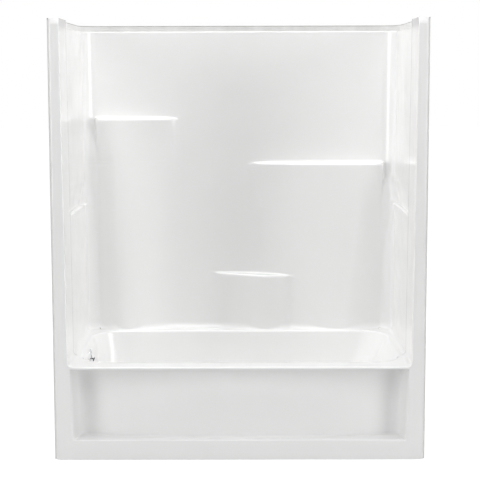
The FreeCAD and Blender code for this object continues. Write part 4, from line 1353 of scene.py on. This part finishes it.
def plywood_finish(name, across, turn, lean=0.0, outer_place=0.0):
    """Plywood whose plies lie across one axis. `lean` is the run of its wall for a unit of height."""
    made, tree, shader, place = new_material(name)
    grain = grain_nodes(tree, place, turn, 0.6)
    parts = add_node(tree, "ShaderNodeSeparateXYZ")
    tree.links.new(place, parts.inputs["Vector"])
    layer = add_node(tree, "ShaderNodeMath", operation="PINGPONG")
    layer.inputs[1].default_value = ply_thickness * MM
    distance = add_node(tree, "ShaderNodeMath", operation="ABSOLUTE")
    upright = add_node(tree, "ShaderNodeMath", operation="MULTIPLY_ADD")
    upright.inputs[1].default_value = -lean
    counted = add_node(tree, "ShaderNodeMath", operation="SUBTRACT")
    counted.inputs[1].default_value = (outer_place - lean * deck) * MM
    tree.links.new(parts.outputs[across], distance.inputs[0])
    tree.links.new(parts.outputs["Z"], upright.inputs[0])
    tree.links.new(distance.outputs[0], upright.inputs[2])
    tree.links.new(upright.outputs[0], counted.inputs[0])
    tree.links.new(counted.outputs[0], layer.inputs[0])
    glue = add_node(tree, "ShaderNodeMapRange", **{"From Min": glue_from_share * ply_thickness * MM,
                                                   "From Max": glue_to_share * ply_thickness * MM})
    tree.links.new(layer.outputs[0], glue.inputs["Value"])
    veneer = two_tones(tree, grain.outputs["Grain"], veneer_tones)
    cross = two_tones(tree, grain.outputs["Pores"], cross_ply_tones)
    tree.links.new(mixed(tree, glue.outputs["Result"], veneer, cross), shader.inputs["Base Color"])
    tree.links.new(tone(tree, place, 45.0, 0.6, 0.8), shader.inputs["Roughness"])
    normal = bump(tree, grain.outputs["Pores"], 0.3 * MM, 0.5)
    tree.links.new(bump(tree, layer.outputs[0], 1.0, 0.15, normal), shader.inputs["Normal"])
    return made


wall_rise = total_height - deck
back_lean = (back_at_top - back_at_deck) / wall_rise
side_lean = (half_at_top - half_at_deck) / wall_rise
behind_wall = skin + board_thickness
plywood_level = plywood_finish("plywood_level", "Z", (0.0, quarter, 0.0))
plywood_facing_back = plywood_finish("plywood_facing_back", "Y", (0.0, 0.0, 0.0), back_lean,
                                     back_at_deck + behind_wall + front_y)
plywood_facing_side = plywood_finish("plywood_facing_side", "X", (0.0, 0.0, 0.0), side_lean,
                                     half_at_deck + step_size + behind_wall)
print("walls lean by", back_lean, "at the back and", side_lean, "at the sides")

# %% [markdown]
# ### Metals and rubber
# The trim is chrome with faint wipe marks, the lever is dark and glossy, the screws and the rod are zinc
# plated with a soft spangle, and the hidden waste is rough drawn brass. One scratch group serves them
# all. The washers are matt rubber.

# %% Shared effect: fine scratches
scratch_turn = (0.3, 0.2, 0.0)
scratch_stretch = (1.0, 1.0, 0.06)
group, start, end = new_group(
    "fine_scratches", [("Vector", "NodeSocketVector", None), ("Scale", "NodeSocketFloat", 300.0)],
    [("Value", "NodeSocketFloat")])
lay = add_node(group, "ShaderNodeMapping", Rotation=scratch_turn, Scale=scratch_stretch)
hair = add_node(group, "ShaderNodeTexNoise", Detail=3.0, Roughness=0.7)
group.links.new(start.outputs["Vector"], lay.inputs["Vector"])
group.links.new(lay.outputs["Vector"], hair.inputs["Vector"])
group.links.new(start.outputs["Scale"], hair.inputs["Scale"])
group.links.new(hair.outputs["Fac"], end.inputs["Value"])
fine_scratches = group


def scratched_finish(name, tones, blotch, roughness, scratch_scale, scratch_depth, metallic=1.0):
    """Blotches a metre, roughness from and to, scratches a metre and their depth in millimetres."""
    made, tree, shader, place = new_material(name)
    shader.inputs["Metallic"].default_value = metallic
    scratches = place_group(tree, fine_scratches, Scale=scratch_scale)
    tree.links.new(place, scratches.inputs["Vector"])
    tree.links.new(mottled(tree, place, blotch, tones), shader.inputs["Base Color"])
    tree.links.new(tone(tree, place, 2 * blotch, *roughness), shader.inputs["Roughness"])
    tree.links.new(bump(tree, scratches.outputs["Value"], scratch_depth * MM, 0.3),
                   shader.inputs["Normal"])
    return made


print("scratches made")

# %% [markdown]
# One function makes all five finishes. They differ in their two tones, in how large and how rough their
# blotches are, and in how fine and deep their scratches are.

# %% Metals and rubber
chrome = scratched_finish("chrome_trim", ((0.74, 0.75, 0.77), (0.82, 0.83, 0.85)), blotch=60.0,
                          roughness=(0.05, 0.12), scratch_scale=700.0, scratch_depth=0.02)
black_gloss = scratched_finish("black_lever", ((0.012, 0.012, 0.014), (0.03, 0.03, 0.034)), blotch=80.0,
                               roughness=(0.2, 0.34), scratch_scale=500.0, scratch_depth=0.04,
                               metallic=0.0)
zinc = scratched_finish("zinc_steel", ((0.5, 0.51, 0.54), (0.68, 0.69, 0.7)), blotch=240.0,
                        roughness=(0.3, 0.5), scratch_scale=400.0, scratch_depth=0.06)
brass = scratched_finish("rough_brass", ((0.50, 0.34, 0.15), (0.74, 0.55, 0.27)), blotch=34.0,
                         roughness=(0.28, 0.52), scratch_scale=260.0, scratch_depth=0.1)
rubber = scratched_finish("black_rubber", ((0.02, 0.02, 0.02), (0.045, 0.044, 0.042)), blotch=90.0,
                          roughness=(0.7, 0.9), scratch_scale=350.0, scratch_depth=0.1, metallic=0.0)
print("materials", len(bpy.data.materials))

# %% [markdown]
# ### Dressing the plain pieces
# Every plain piece takes the finish of its slot in the record. Timber and boards also need the grain the
# right way round, which the shape of their box tells.

# %% Dress the plain pieces
slot_of = {part["node"]: part["material_slot"] for part in frame["record"]["subparts"]}
one_finish = {"chrome_trim": chrome, "black_lever": black_gloss, "zinc_steel": zinc, "rough_brass": brass,
              "black_rubber": rubber, "white_gelcoat": gelcoat}


def finish_for(name):
    low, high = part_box(name)
    size = high - low
    if slot_of[name] == "pine":
        return pine_lying if size.y > size.z else pine_upright
    if slot_of[name] == "plywood":
        thin = min(size.x, size.y, size.z)
        if thin == size.z:
            return plywood_level
        return plywood_facing_back if thin == size.y else plywood_facing_side
    return one_finish[slot_of[name]]


for name, node in nodes.items():
    node.data.materials.clear()
    node.data.materials.append(finish_for(name))
print("nodes dressed", len(nodes))

# %% [markdown]
# ## Small pieces
# The next pieces are modelled again, finer than the plain solids and at the same place. A round piece
# is a closed profile spun about its axis, and a square one is a cube primitive between two corners.
# Openings are cut with tools that are removed afterwards.

# %% Helpers for turned and cut pieces
bevel_angle = radians(35.0)


def in_edit(piece):
    make_active(piece)
    bpy.ops.object.mode_set(mode="EDIT")
    bpy.ops.mesh.select_all(action="SELECT")


def leave_edit():
    bpy.ops.object.mode_set(mode="OBJECT")


def turned(name, profile, axis, centre, steps=64):
    """Spins a closed profile of (distance along the axis, radius) points, in millimetres."""
    deselect()
    bpy.ops.mesh.primitive_circle_add(vertices=len(profile), radius=MM, fill_type="NOTHING")
    piece = bpy.context.object
    piece.name = name
    along, aside = {"X": (Vector((1, 0, 0)), Vector((0, 0, 1))),
                    "Z": (Vector((0, 0, 1)), Vector((1, 0, 0)))}[axis]
    for vertex, (reach, radius) in zip(piece.data.vertices, profile):
        vertex.co = (Vector(centre) + along * reach + aside * radius) * MM
    in_edit(piece)
    bpy.ops.mesh.spin(steps=steps, angle=2 * pi, center=Vector(centre) * MM, axis=along)
    bpy.ops.mesh.select_all(action="SELECT")
    bpy.ops.mesh.remove_doubles(threshold=merge_gap * MM)
    bpy.ops.mesh.normals_make_consistent(inside=False)
    leave_edit()
    return piece


def block(name, low, high):
    """A cube primitive between two corners, in millimetres."""
    low, high = Vector(low), Vector(high)
    deselect()
    bpy.ops.mesh.primitive_cube_add(size=1.0)
    piece = bpy.context.object
    piece.name = name
    for vertex in piece.data.vertices:
        share = vertex.co + Vector((0.5, 0.5, 0.5))
        vertex.co = Vector((between(low[axis], high[axis], share[axis]) for axis in range(3))) * MM
    return piece


def rounded(piece, width, segments):
    """Bevels all edges of a piece that are sharper than a gentle bend."""
    bevel = piece.modifiers.new("rounding", "BEVEL")
    bevel.width = width * MM
    bevel.segments = segments
    bevel.limit_method = "ANGLE"
    bevel.angle_limit = bevel_angle
    bevel.harden_normals = False
    make_active(piece)
    bpy.ops.object.modifier_apply(modifier=bevel.name)


def combined(piece, tool, operation):
    """Joins a tool to a piece or cuts it away, and removes the tool."""
    work = piece.modifiers.new("work", "BOOLEAN")
    work.operation = operation
    work.solver = "EXACT"
    work.object = tool
    make_active(piece)
    bpy.ops.object.modifier_apply(modifier=work.name)
    bpy.data.objects.remove(tool)


def rod(radius, length, centre, turn=(0.0, 0.0, 0.0), vertices=40):
    """A cylinder primitive, along Z unless it is turned, in millimetres."""
    deselect()
    bpy.ops.mesh.primitive_cylinder_add(vertices=vertices, radius=radius * MM, depth=length * MM,
                                        location=Vector(centre) * MM, rotation=turn)
    return bpy.context.object


def finished(piece, body, node, material):
    make_active(piece)
    bpy.ops.object.transform_apply(location=True, rotation=True, scale=True)
    bpy.ops.object.shade_smooth_by_angle(angle=smooth_angle)
    piece.data.materials.clear()
    piece.data.materials.append(material)
    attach(piece, body)
    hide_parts(node)
    print(piece.name, "triangles", sum(len(face.vertices) - 2 for face in piece.data.polygons))


# %% [markdown]
# ### Stiffeners behind the jambs
# A sawn strip stands behind each jamb, and the laminate is laid over its front. The jamb leans back at
# its top, so the strip stops below the lean and its top is cut on a slope. Each is a cube primitive,
# cut with bisect and given softened corners.

# %% Stiffeners
stiffener_front = 9.0
stiffener_top = 1768.0
stiffener_gap = 0.6
stiffener_round = 1.2
slope_drop = 2.0
slope_normal = (0.0, -0.5, 1.0)
for label in ("left", "right"):
    node = "jamb_stiffener_" + label
    low, high = (Vector(corner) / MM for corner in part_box(node))
    strip = block(node + "_strip", (low.x + stiffener_gap, front_y + stiffener_front, 0.0),
                  (high.x - stiffener_gap, high.y, stiffener_top))
    in_edit(strip)
    bpy.ops.mesh.bisect(plane_co=Vector((0.0, low.y, stiffener_top - slope_drop)) * MM,
                        plane_no=slope_normal, use_fill=True, clear_outer=True)
    leave_edit()
    rounded(strip, stiffener_round, 2)
    finished(strip, "shell", node, pine_upright)

# %% [markdown]
# ## The overflow fitting
# These few small pieces are what a bather touches. The cover, its screws, the lever and the drain's
# trim are modelled again, finer than the plain solids, at the same place.

# %% [markdown]
# ### Overflow cover
# A pressed brass dish, chromed, with a rolled rim, a slightly crowned face and a raised frame round the
# lever's slot. It is hollow, so its profile has an inner side too.

# %% Overflow cover
middle_y = middle_depth + front_y
fitting_centre = (0.0, middle_y, overflow_height)
cover_back = -664.0
cover_face = -656.0
cover_radius = 36.0
cover_skin = 1.5
rim_roll, rim_roll_share = 1.1, 0.6
rim_round_out, rim_edge = 0.3, 0.4
crown_rise = 0.5
face_radius = 29.0
shoulder_drop, shoulder_run = 6.3, 6.6
inner_face_radius = 28.0
inner_shoulder_drop, inner_shoulder_run = 5.4, 6.0
inner_crown = 0.1
outline = [(cover_face - crown_rise * share ** 2, face_radius * share) for share in even_shares(7)]
outline += [(cover_face - crown_rise - shoulder_drop * (1 - cos(turn)),
             face_radius + shoulder_run * sin(turn)) for turn in arc(9)[1:]]
outline += [(cover_back + rim_roll * (1 - sin(turn)) * rim_roll_share,
             cover_radius - rim_round_out * cos(turn)) for turn in arc(4)]
outline += [(cover_back, cover_radius - rim_edge), (cover_back, cover_radius - cover_skin)]
outline += [(cover_face - crown_rise - cover_skin - inner_shoulder_drop * (1 - cos(turn)),
             inner_face_radius + inner_shoulder_run * sin(turn)) for turn in np.linspace(pi / 2, 0.0, 7)]
outline += [(cover_face - cover_skin - inner_crown, 0.0)]
cover = turned("overflow_cover", outline, "X", fitting_centre)

# %% [markdown]
# Behind the slot two ears carry the lever's pin. The slot's frame is a rounded block that stands a little
# proud of the face, and the slot and the two screw holes are then cut through everything.

# %% The cover's ears, frame, slot and screw holes
ear_gap = 3.8
ear_thickness = 1.5
ear_back = -670.0
ear_half_height = 4.5
ear_sink = 1.0
for side in (-1, 1):
    ear_near, ear_far = sorted((ear_gap, ear_gap + ear_thickness), key=lambda reach: side * reach)
    ear = block("ear", (ear_back, middle_y + side * ear_near, overflow_height - ear_half_height),
                (cover_face - ear_sink, middle_y + side * ear_far, overflow_height + ear_half_height))
    combined(cover, ear, "UNION")
slot_half_width = 4.5
slot_half_height = 10.5
slot_back, slot_front = -674.0, cover_face + 4.0
fitting_round = 0.5
frame_half_width = 7.0
frame_half_height = 13.0
frame_sink, frame_rise = 2.0, 0.6
frame_low, frame_high = overflow_height - frame_half_height, overflow_height + frame_half_height
frame_block = block("slot_frame", (cover_face - frame_sink, middle_y - frame_half_width, frame_low),
                    (cover_face + frame_rise, middle_y + frame_half_width, frame_high))
rounded(frame_block, fitting_round, 2)
combined(cover, frame_block, "UNION")
slot_cutter = block("slot_cutter",
                    (slot_back, middle_y - slot_half_width, overflow_height - slot_half_height),
                    (slot_front, middle_y + slot_half_width, overflow_height + slot_half_height))
combined(cover, slot_cutter, "DIFFERENCE")
screw_reach = 24.0
screw_hole, screw_hole_length, screw_hole_place = 2.5, 16.0, -660.0
for side in (-1, 1):
    hole = rod(screw_hole, screw_hole_length,
               (screw_hole_place, middle_y, overflow_height + side * screw_reach), (0.0, quarter, 0.0), 24)
    combined(cover, hole, "DIFFERENCE")
finished(cover, "shell", "overflow_plate", chrome)

# %% [markdown]
# ### Cover screws
# Two slotted raised-head screws. A thread's pitch is too fine to see, so plain rings stand in for it. Both
# are turned from one profile and slotted, and then joined, as they share a node.

# %% Cover screws
screw_tip = -678.0
screw_seat = -656.2
head_radius = 4.6
head_rise = 2.6
head_edge, head_bevel = 0.5, 0.2
tip_radius, tip_length, shank_radius = 1.7, 0.8, 2.35
thread_start, thread_rings, pitch_length = 1.0, 18, 0.8
thread_crest, thread_root, neck_radius = 2.38, 1.95, 2.3
groove_low, groove_high, groove_half_length, groove_half_width = 1.3, 4.0, 6.0, 0.55
screw_profile = [(screw_tip, 0.0), (screw_tip, tip_radius), (screw_tip + tip_length, shank_radius)]
for ring_index in range(thread_rings):
    start_at = screw_tip + thread_start + pitch_length * ring_index
    screw_profile += [(start_at, thread_crest), (start_at + pitch_length / 2, thread_root)]
screw_profile += [(screw_seat, neck_radius), (screw_seat, head_radius - head_bevel),
                  (screw_seat + head_edge, head_radius)]
screw_profile += [(screw_seat + head_edge + (head_rise - head_edge) * sin(turn), head_radius * cos(turn))
                  for turn in arc(7)[1:]]
screws = []
for side in (-1, 1):
    centre = (0.0, middle_y, overflow_height + side * screw_reach)
    screw = turned("cover_screw", screw_profile, "X", centre, 32)
    groove = block("groove", (screw_seat + groove_low, middle_y - groove_half_length,
                              centre[2] - groove_half_width),
                   (screw_seat + groove_high, middle_y + groove_half_length,
                    centre[2] + groove_half_width))
    combined(screw, groove, "DIFFERENCE")
    screws.append(screw)
make_active(screws[0])
screws[1].select_set(True)
bpy.ops.object.join()
screws[0].name = "cover_screws"
finished(screws[0], "shell", "plate_screws", chrome)

# %% [markdown]
# ### Trip lever
# One cast piece: a thumb tab in front of the cover, a blade through the slot, a hub on the pin and an
# eye that lifts the rod. It is built level with its hub at the pivot, and then turned down by the swing.

# %% Trip lever
pivot = Vector((-668.0, middle_y, overflow_height))
blade_half = 3.5
blade_half_height, blade_round, blade_stop = 2.0, 0.6, 2.0
eye_reach = 40.0
tab_reach = 27.0
hub_radius, eye_radius = 6.0, 6.2
pin_hole, eye_hole, hole_length = 1.65, 3.2, 12.0
rest_swing = radians(20.0)
lever = block("lever", pivot + Vector((-eye_reach, -blade_half, -blade_half_height)),
              pivot + Vector((tab_reach - blade_stop, blade_half, blade_half_height)))
rounded(lever, blade_round, 2)
for reach, radius in ((0.0, hub_radius), (-eye_reach, eye_radius)):
    boss = rod(radius, 2 * blade_half, pivot + Vector((reach, 0.0, 0.0)), (quarter, 0.0, 0.0))
    make_active(boss)
    bpy.ops.object.transform_apply(location=True, rotation=True, scale=True)
    rounded(boss, fitting_round, 2)
    combined(lever, boss, "UNION")
for reach, radius in ((0.0, pin_hole), (-eye_reach, eye_hole)):
    hole = rod(radius, hole_length, pivot + Vector((reach, 0.0, 0.0)), (quarter, 0.0, 0.0), 32)
    combined(lever, hole, "DIFFERENCE")
print("lever with hub and eye,", len(lever.data.vertices), "vertices")

# %% [markdown]
# The thumb tab is a rounded block with four ribs for grip. Joined to the blade, the whole lever is then
# turned down about its pivot, to where it rests.

# %% The lever's tab, and its turn to rest
tab_thickness, tab_front_gap, tab_half_width, tab_half_height, tab_round = 4.5, 0.2, 7.0, 8.5, 1.9
rib_depth, rib_half_length, rib_half_width, rib_round = 1.2, 4.8, 0.45, 0.3
rib_places = (-4.5, -1.5, 1.5, 4.5)
tab = block("tab", pivot + Vector((tab_reach - tab_thickness, -tab_half_width, -tab_half_height)),
            pivot + Vector((tab_reach - tab_front_gap, tab_half_width, tab_half_height)))
rounded(tab, tab_round, 4)
for rib in rib_places:
    grip = block("grip", pivot + Vector((tab_reach - rib_depth, -rib_half_length, rib - rib_half_width)),
                 pivot + Vector((tab_reach, rib_half_length, rib + rib_half_width)))
    rounded(grip, rib_round, 2)
    combined(tab, grip, "UNION")
combined(lever, tab, "UNION")
in_edit(lever)
bpy.ops.transform.rotate(value=-rest_swing, orient_axis="Y", center_override=pivot * MM)
leave_edit()
finished(lever, "lever", "trip_lever", black_gloss)

# %% [markdown]
# ### Drain trim
# The flange is a dished ring on a threaded body that clamps the floor of the well from above. It is
# turned as one profile, with plain rings for its thread. Two bars cross its throat and carry a round
# hub, which the strainer's screw goes into. The strainer itself is already fine enough as a plain piece.

# %% Drain flange
drain_centre = (drain_x, middle_y, 0.0)
trim_top = 99.6
body_low = 65.6
body_radius, bore_radius, body_root = 22.0, 18.5, 21.4
body_rings, body_pitch, root_start, crest_start = 16, 1.6, 0.1, 0.8
dish_drops = (2.6, 2.6, 2.0, 1.2, 0.4, 0.0, 0.3, 1.2, 2.0, 4.0, 6.0)
dish_radii = (body_radius, 36.0, 36.5, 36.3, 34.5, 31.5, 28.5, 26.2, 25.2, 20.6, bore_radius)
flange_profile = [(trim_top - drop, radius) for drop, radius in zip(dish_drops, dish_radii)]
flange_profile += [(body_low, bore_radius)]
for ring_index in range(body_rings):
    start_at = body_low + body_pitch * ring_index
    flange_profile += [(start_at + root_start, body_root), (start_at + crest_start, body_radius)]
drain_trim = turned("drain_trim", flange_profile, "Z", drain_centre)
bar_reach = 19.5
bar_half_width = 2.0
bar_low = 85.6
bar_top = 90.6
hub_of_bars = 5.0
screw_clearance, clearance_length = 2.2, 20.0
bar_centre = (drain_x, middle_y, (bar_low + bar_top) / 2)
for reach_x, reach_y in ((bar_reach, bar_half_width), (bar_half_width, bar_reach)):
    bar = block("bar", (drain_x - reach_x, middle_y - reach_y, bar_low),
                (drain_x + reach_x, middle_y + reach_y, bar_top))
    combined(drain_trim, bar, "UNION")
combined(drain_trim, rod(hub_of_bars, bar_top - bar_low, bar_centre), "UNION")
combined(drain_trim, rod(screw_clearance, clearance_length, bar_centre), "DIFFERENCE")
finished(drain_trim, "shell", "drain_flange", chrome)

# %% [markdown]
# ## Stage, light and camera
# The picture is a studio shot on white: soft light from above and from both sides, and no shadow on the
# floor. Part of what the camera sees of the floor is its own glow, which lights nothing, so that the floor
# is as white as the rest while shadows on it stay faint.

# %% Studio floor
floor_size, floor_drop = 60.0, 0.0005
floor_grey = 0.7
floor_roughness = 0.9
floor_glow, glow_share = 1.2, 0.85
deselect()
bpy.ops.mesh.primitive_plane_add(size=floor_size, location=(0.0, 0.0, -floor_drop))
ground = bpy.context.object
ground.name = "studio_floor"
floor_paint, tree, shader, place = new_material("studio_floor")
shader.inputs["Base Color"].default_value = (floor_grey, floor_grey, floor_grey, 1.0)
shader.inputs["Roughness"].default_value = floor_roughness
white = add_node(tree, "ShaderNodeEmission", Strength=floor_glow)
paths = add_node(tree, "ShaderNodeLightPath")
seen_share = add_node(tree, "ShaderNodeMath", operation="MULTIPLY")
seen_share.inputs[1].default_value = glow_share
blend = add_node(tree, "ShaderNodeMixShader")
tree.links.new(paths.outputs["Is Camera Ray"], seen_share.inputs[0])
tree.links.new(seen_share.outputs[0], blend.inputs[0])
tree.links.new(shader.outputs[0], blend.inputs[1])
tree.links.new(white.outputs[0], blend.inputs[2])
tree.links.new(blend.outputs[0], tree.nodes["Material Output"].inputs["Surface"])
ground.data.materials.append(floor_paint)
print("floor", floor_size, "metres wide")

# %% [markdown]
# ### The room
# The world answers each kind of ray with its own strength: white to the camera, the lit room to mirror
# rays, and a faint glow to all others.

# %% Room
room_light = 0.02
mirrored_room = 0.46
room_white = (1.0, 1.0, 1.0, 1.0)
world = bpy.data.worlds.new("studio")
bpy.context.scene.world = world
world.use_nodes = True
tree = world.node_tree
tree.nodes.clear()
around = add_node(tree, "ShaderNodeBackground", Color=room_white, Strength=room_light)
seen = add_node(tree, "ShaderNodeBackground", Color=room_white, Strength=1.0)
paths = add_node(tree, "ShaderNodeLightPath")
choose = add_node(tree, "ShaderNodeMixShader")
result = add_node(tree, "ShaderNodeOutputWorld")
mirrored = add_node(tree, "ShaderNodeBackground", Color=room_white, Strength=mirrored_room)
gloss = add_node(tree, "ShaderNodeMixShader")
tree.links.new(paths.outputs["Is Glossy Ray"], gloss.inputs[0])
tree.links.new(around.outputs[0], gloss.inputs[1])
tree.links.new(mirrored.outputs[0], gloss.inputs[2])
tree.links.new(paths.outputs["Is Camera Ray"], choose.inputs[0])
tree.links.new(gloss.outputs[0], choose.inputs[1])
tree.links.new(seen.outputs[0], choose.inputs[2])
tree.links.new(choose.outputs[0], result.inputs["Surface"])
print("room", room_light, "mirrored", mirrored_room)

# %% [markdown]
# ### The lamps
# Large area lights stand round the unit, as a studio's soft boxes do: one overhead, one high in front, a
# pair high at the sides, and a pair low to the left and right of the front. Two more light the back, for
# the views from there. Sizes, places and aims are in metres.

# %% Lamps
overhead_power = 72.0
side_power = 94.0
high_front_power = 77.0
high_side_power = 31.0
rear_power = 110.0


def area_light(name, size, place, aim, power):
    data = bpy.data.lights.new(name, "AREA")
    data.shape = "RECTANGLE"
    data.size, data.size_y = size
    data.energy = power
    lamp = bpy.data.objects.new(name, data)
    bpy.context.scene.collection.objects.link(lamp)
    lamp.location = place
    lamp.rotation_euler = (Vector(aim) - Vector(place)).to_track_quat("-Z", "Y").to_euler()


area_light("overhead", (3.0, 2.0), (0.0, -0.35, 4.6), (0.0, 0.0, 0.6), overhead_power)
area_light("high_front", (4.0, 2.0), (0.0, -3.6, 5.0), (0.0, 0.0, 0.7), high_front_power)
for side in (-1, 1):
    area_light("high_side", (1.5, 2.0), (side * 3.5, -0.2, 4.6), (-side * 0.6, 0.1, 1.0), high_side_power)
    area_light("side_box", (2.0, 3.0), (side * 4.6, -3.6, 1.9), (-side * 0.7, 0.1, 1.0), side_power)
for side in (-1, 1):
    area_light("rear", (2.0, 2.0), (side * 3.0, 4.6, 3.4), (side * 0.2, 0.4, 0.8), rear_power)
print("lamps", len(bpy.data.lights))

# %% [markdown]
# ### The camera
# The camera stands at about eye height, almost in the middle, and looks down a little. Its lens is
# long, and its shift lifts the unit in the picture without more tilt. Its place, turn, lens and shift were
# found by fitting the corners of the frame to the photograph.

# %% Camera
camera_place = (0.0197, -5.2191, 1.5807)
pitch, yaw, roll = radians(6.18), radians(-0.185), radians(-0.15)
camera_lens, sensor_width, lens_shift = 90.2, 36.0, -0.075
forward = Vector((sin(yaw) * cos(pitch), cos(yaw) * cos(pitch), -sin(pitch)))
level_right = Vector((cos(yaw), -sin(yaw), 0.0))
level_up = level_right.cross(forward)
right = level_right * cos(roll) + level_up * sin(roll)
up = right.cross(forward)
camera_data = bpy.data.cameras.new("camera")
camera = bpy.data.objects.new("camera", camera_data)
bpy.context.scene.collection.objects.link(camera)
camera.matrix_world = Matrix((right, up, -forward)).transposed().to_4x4()
camera.location = camera_place
camera_data.lens = camera_lens
camera_data.sensor_width = sensor_width
camera_data.shift_y = lens_shift
bpy.context.scene.camera = camera
bpy.context.scene.view_settings.view_transform = "Standard"
print("camera", tuple(camera.location))
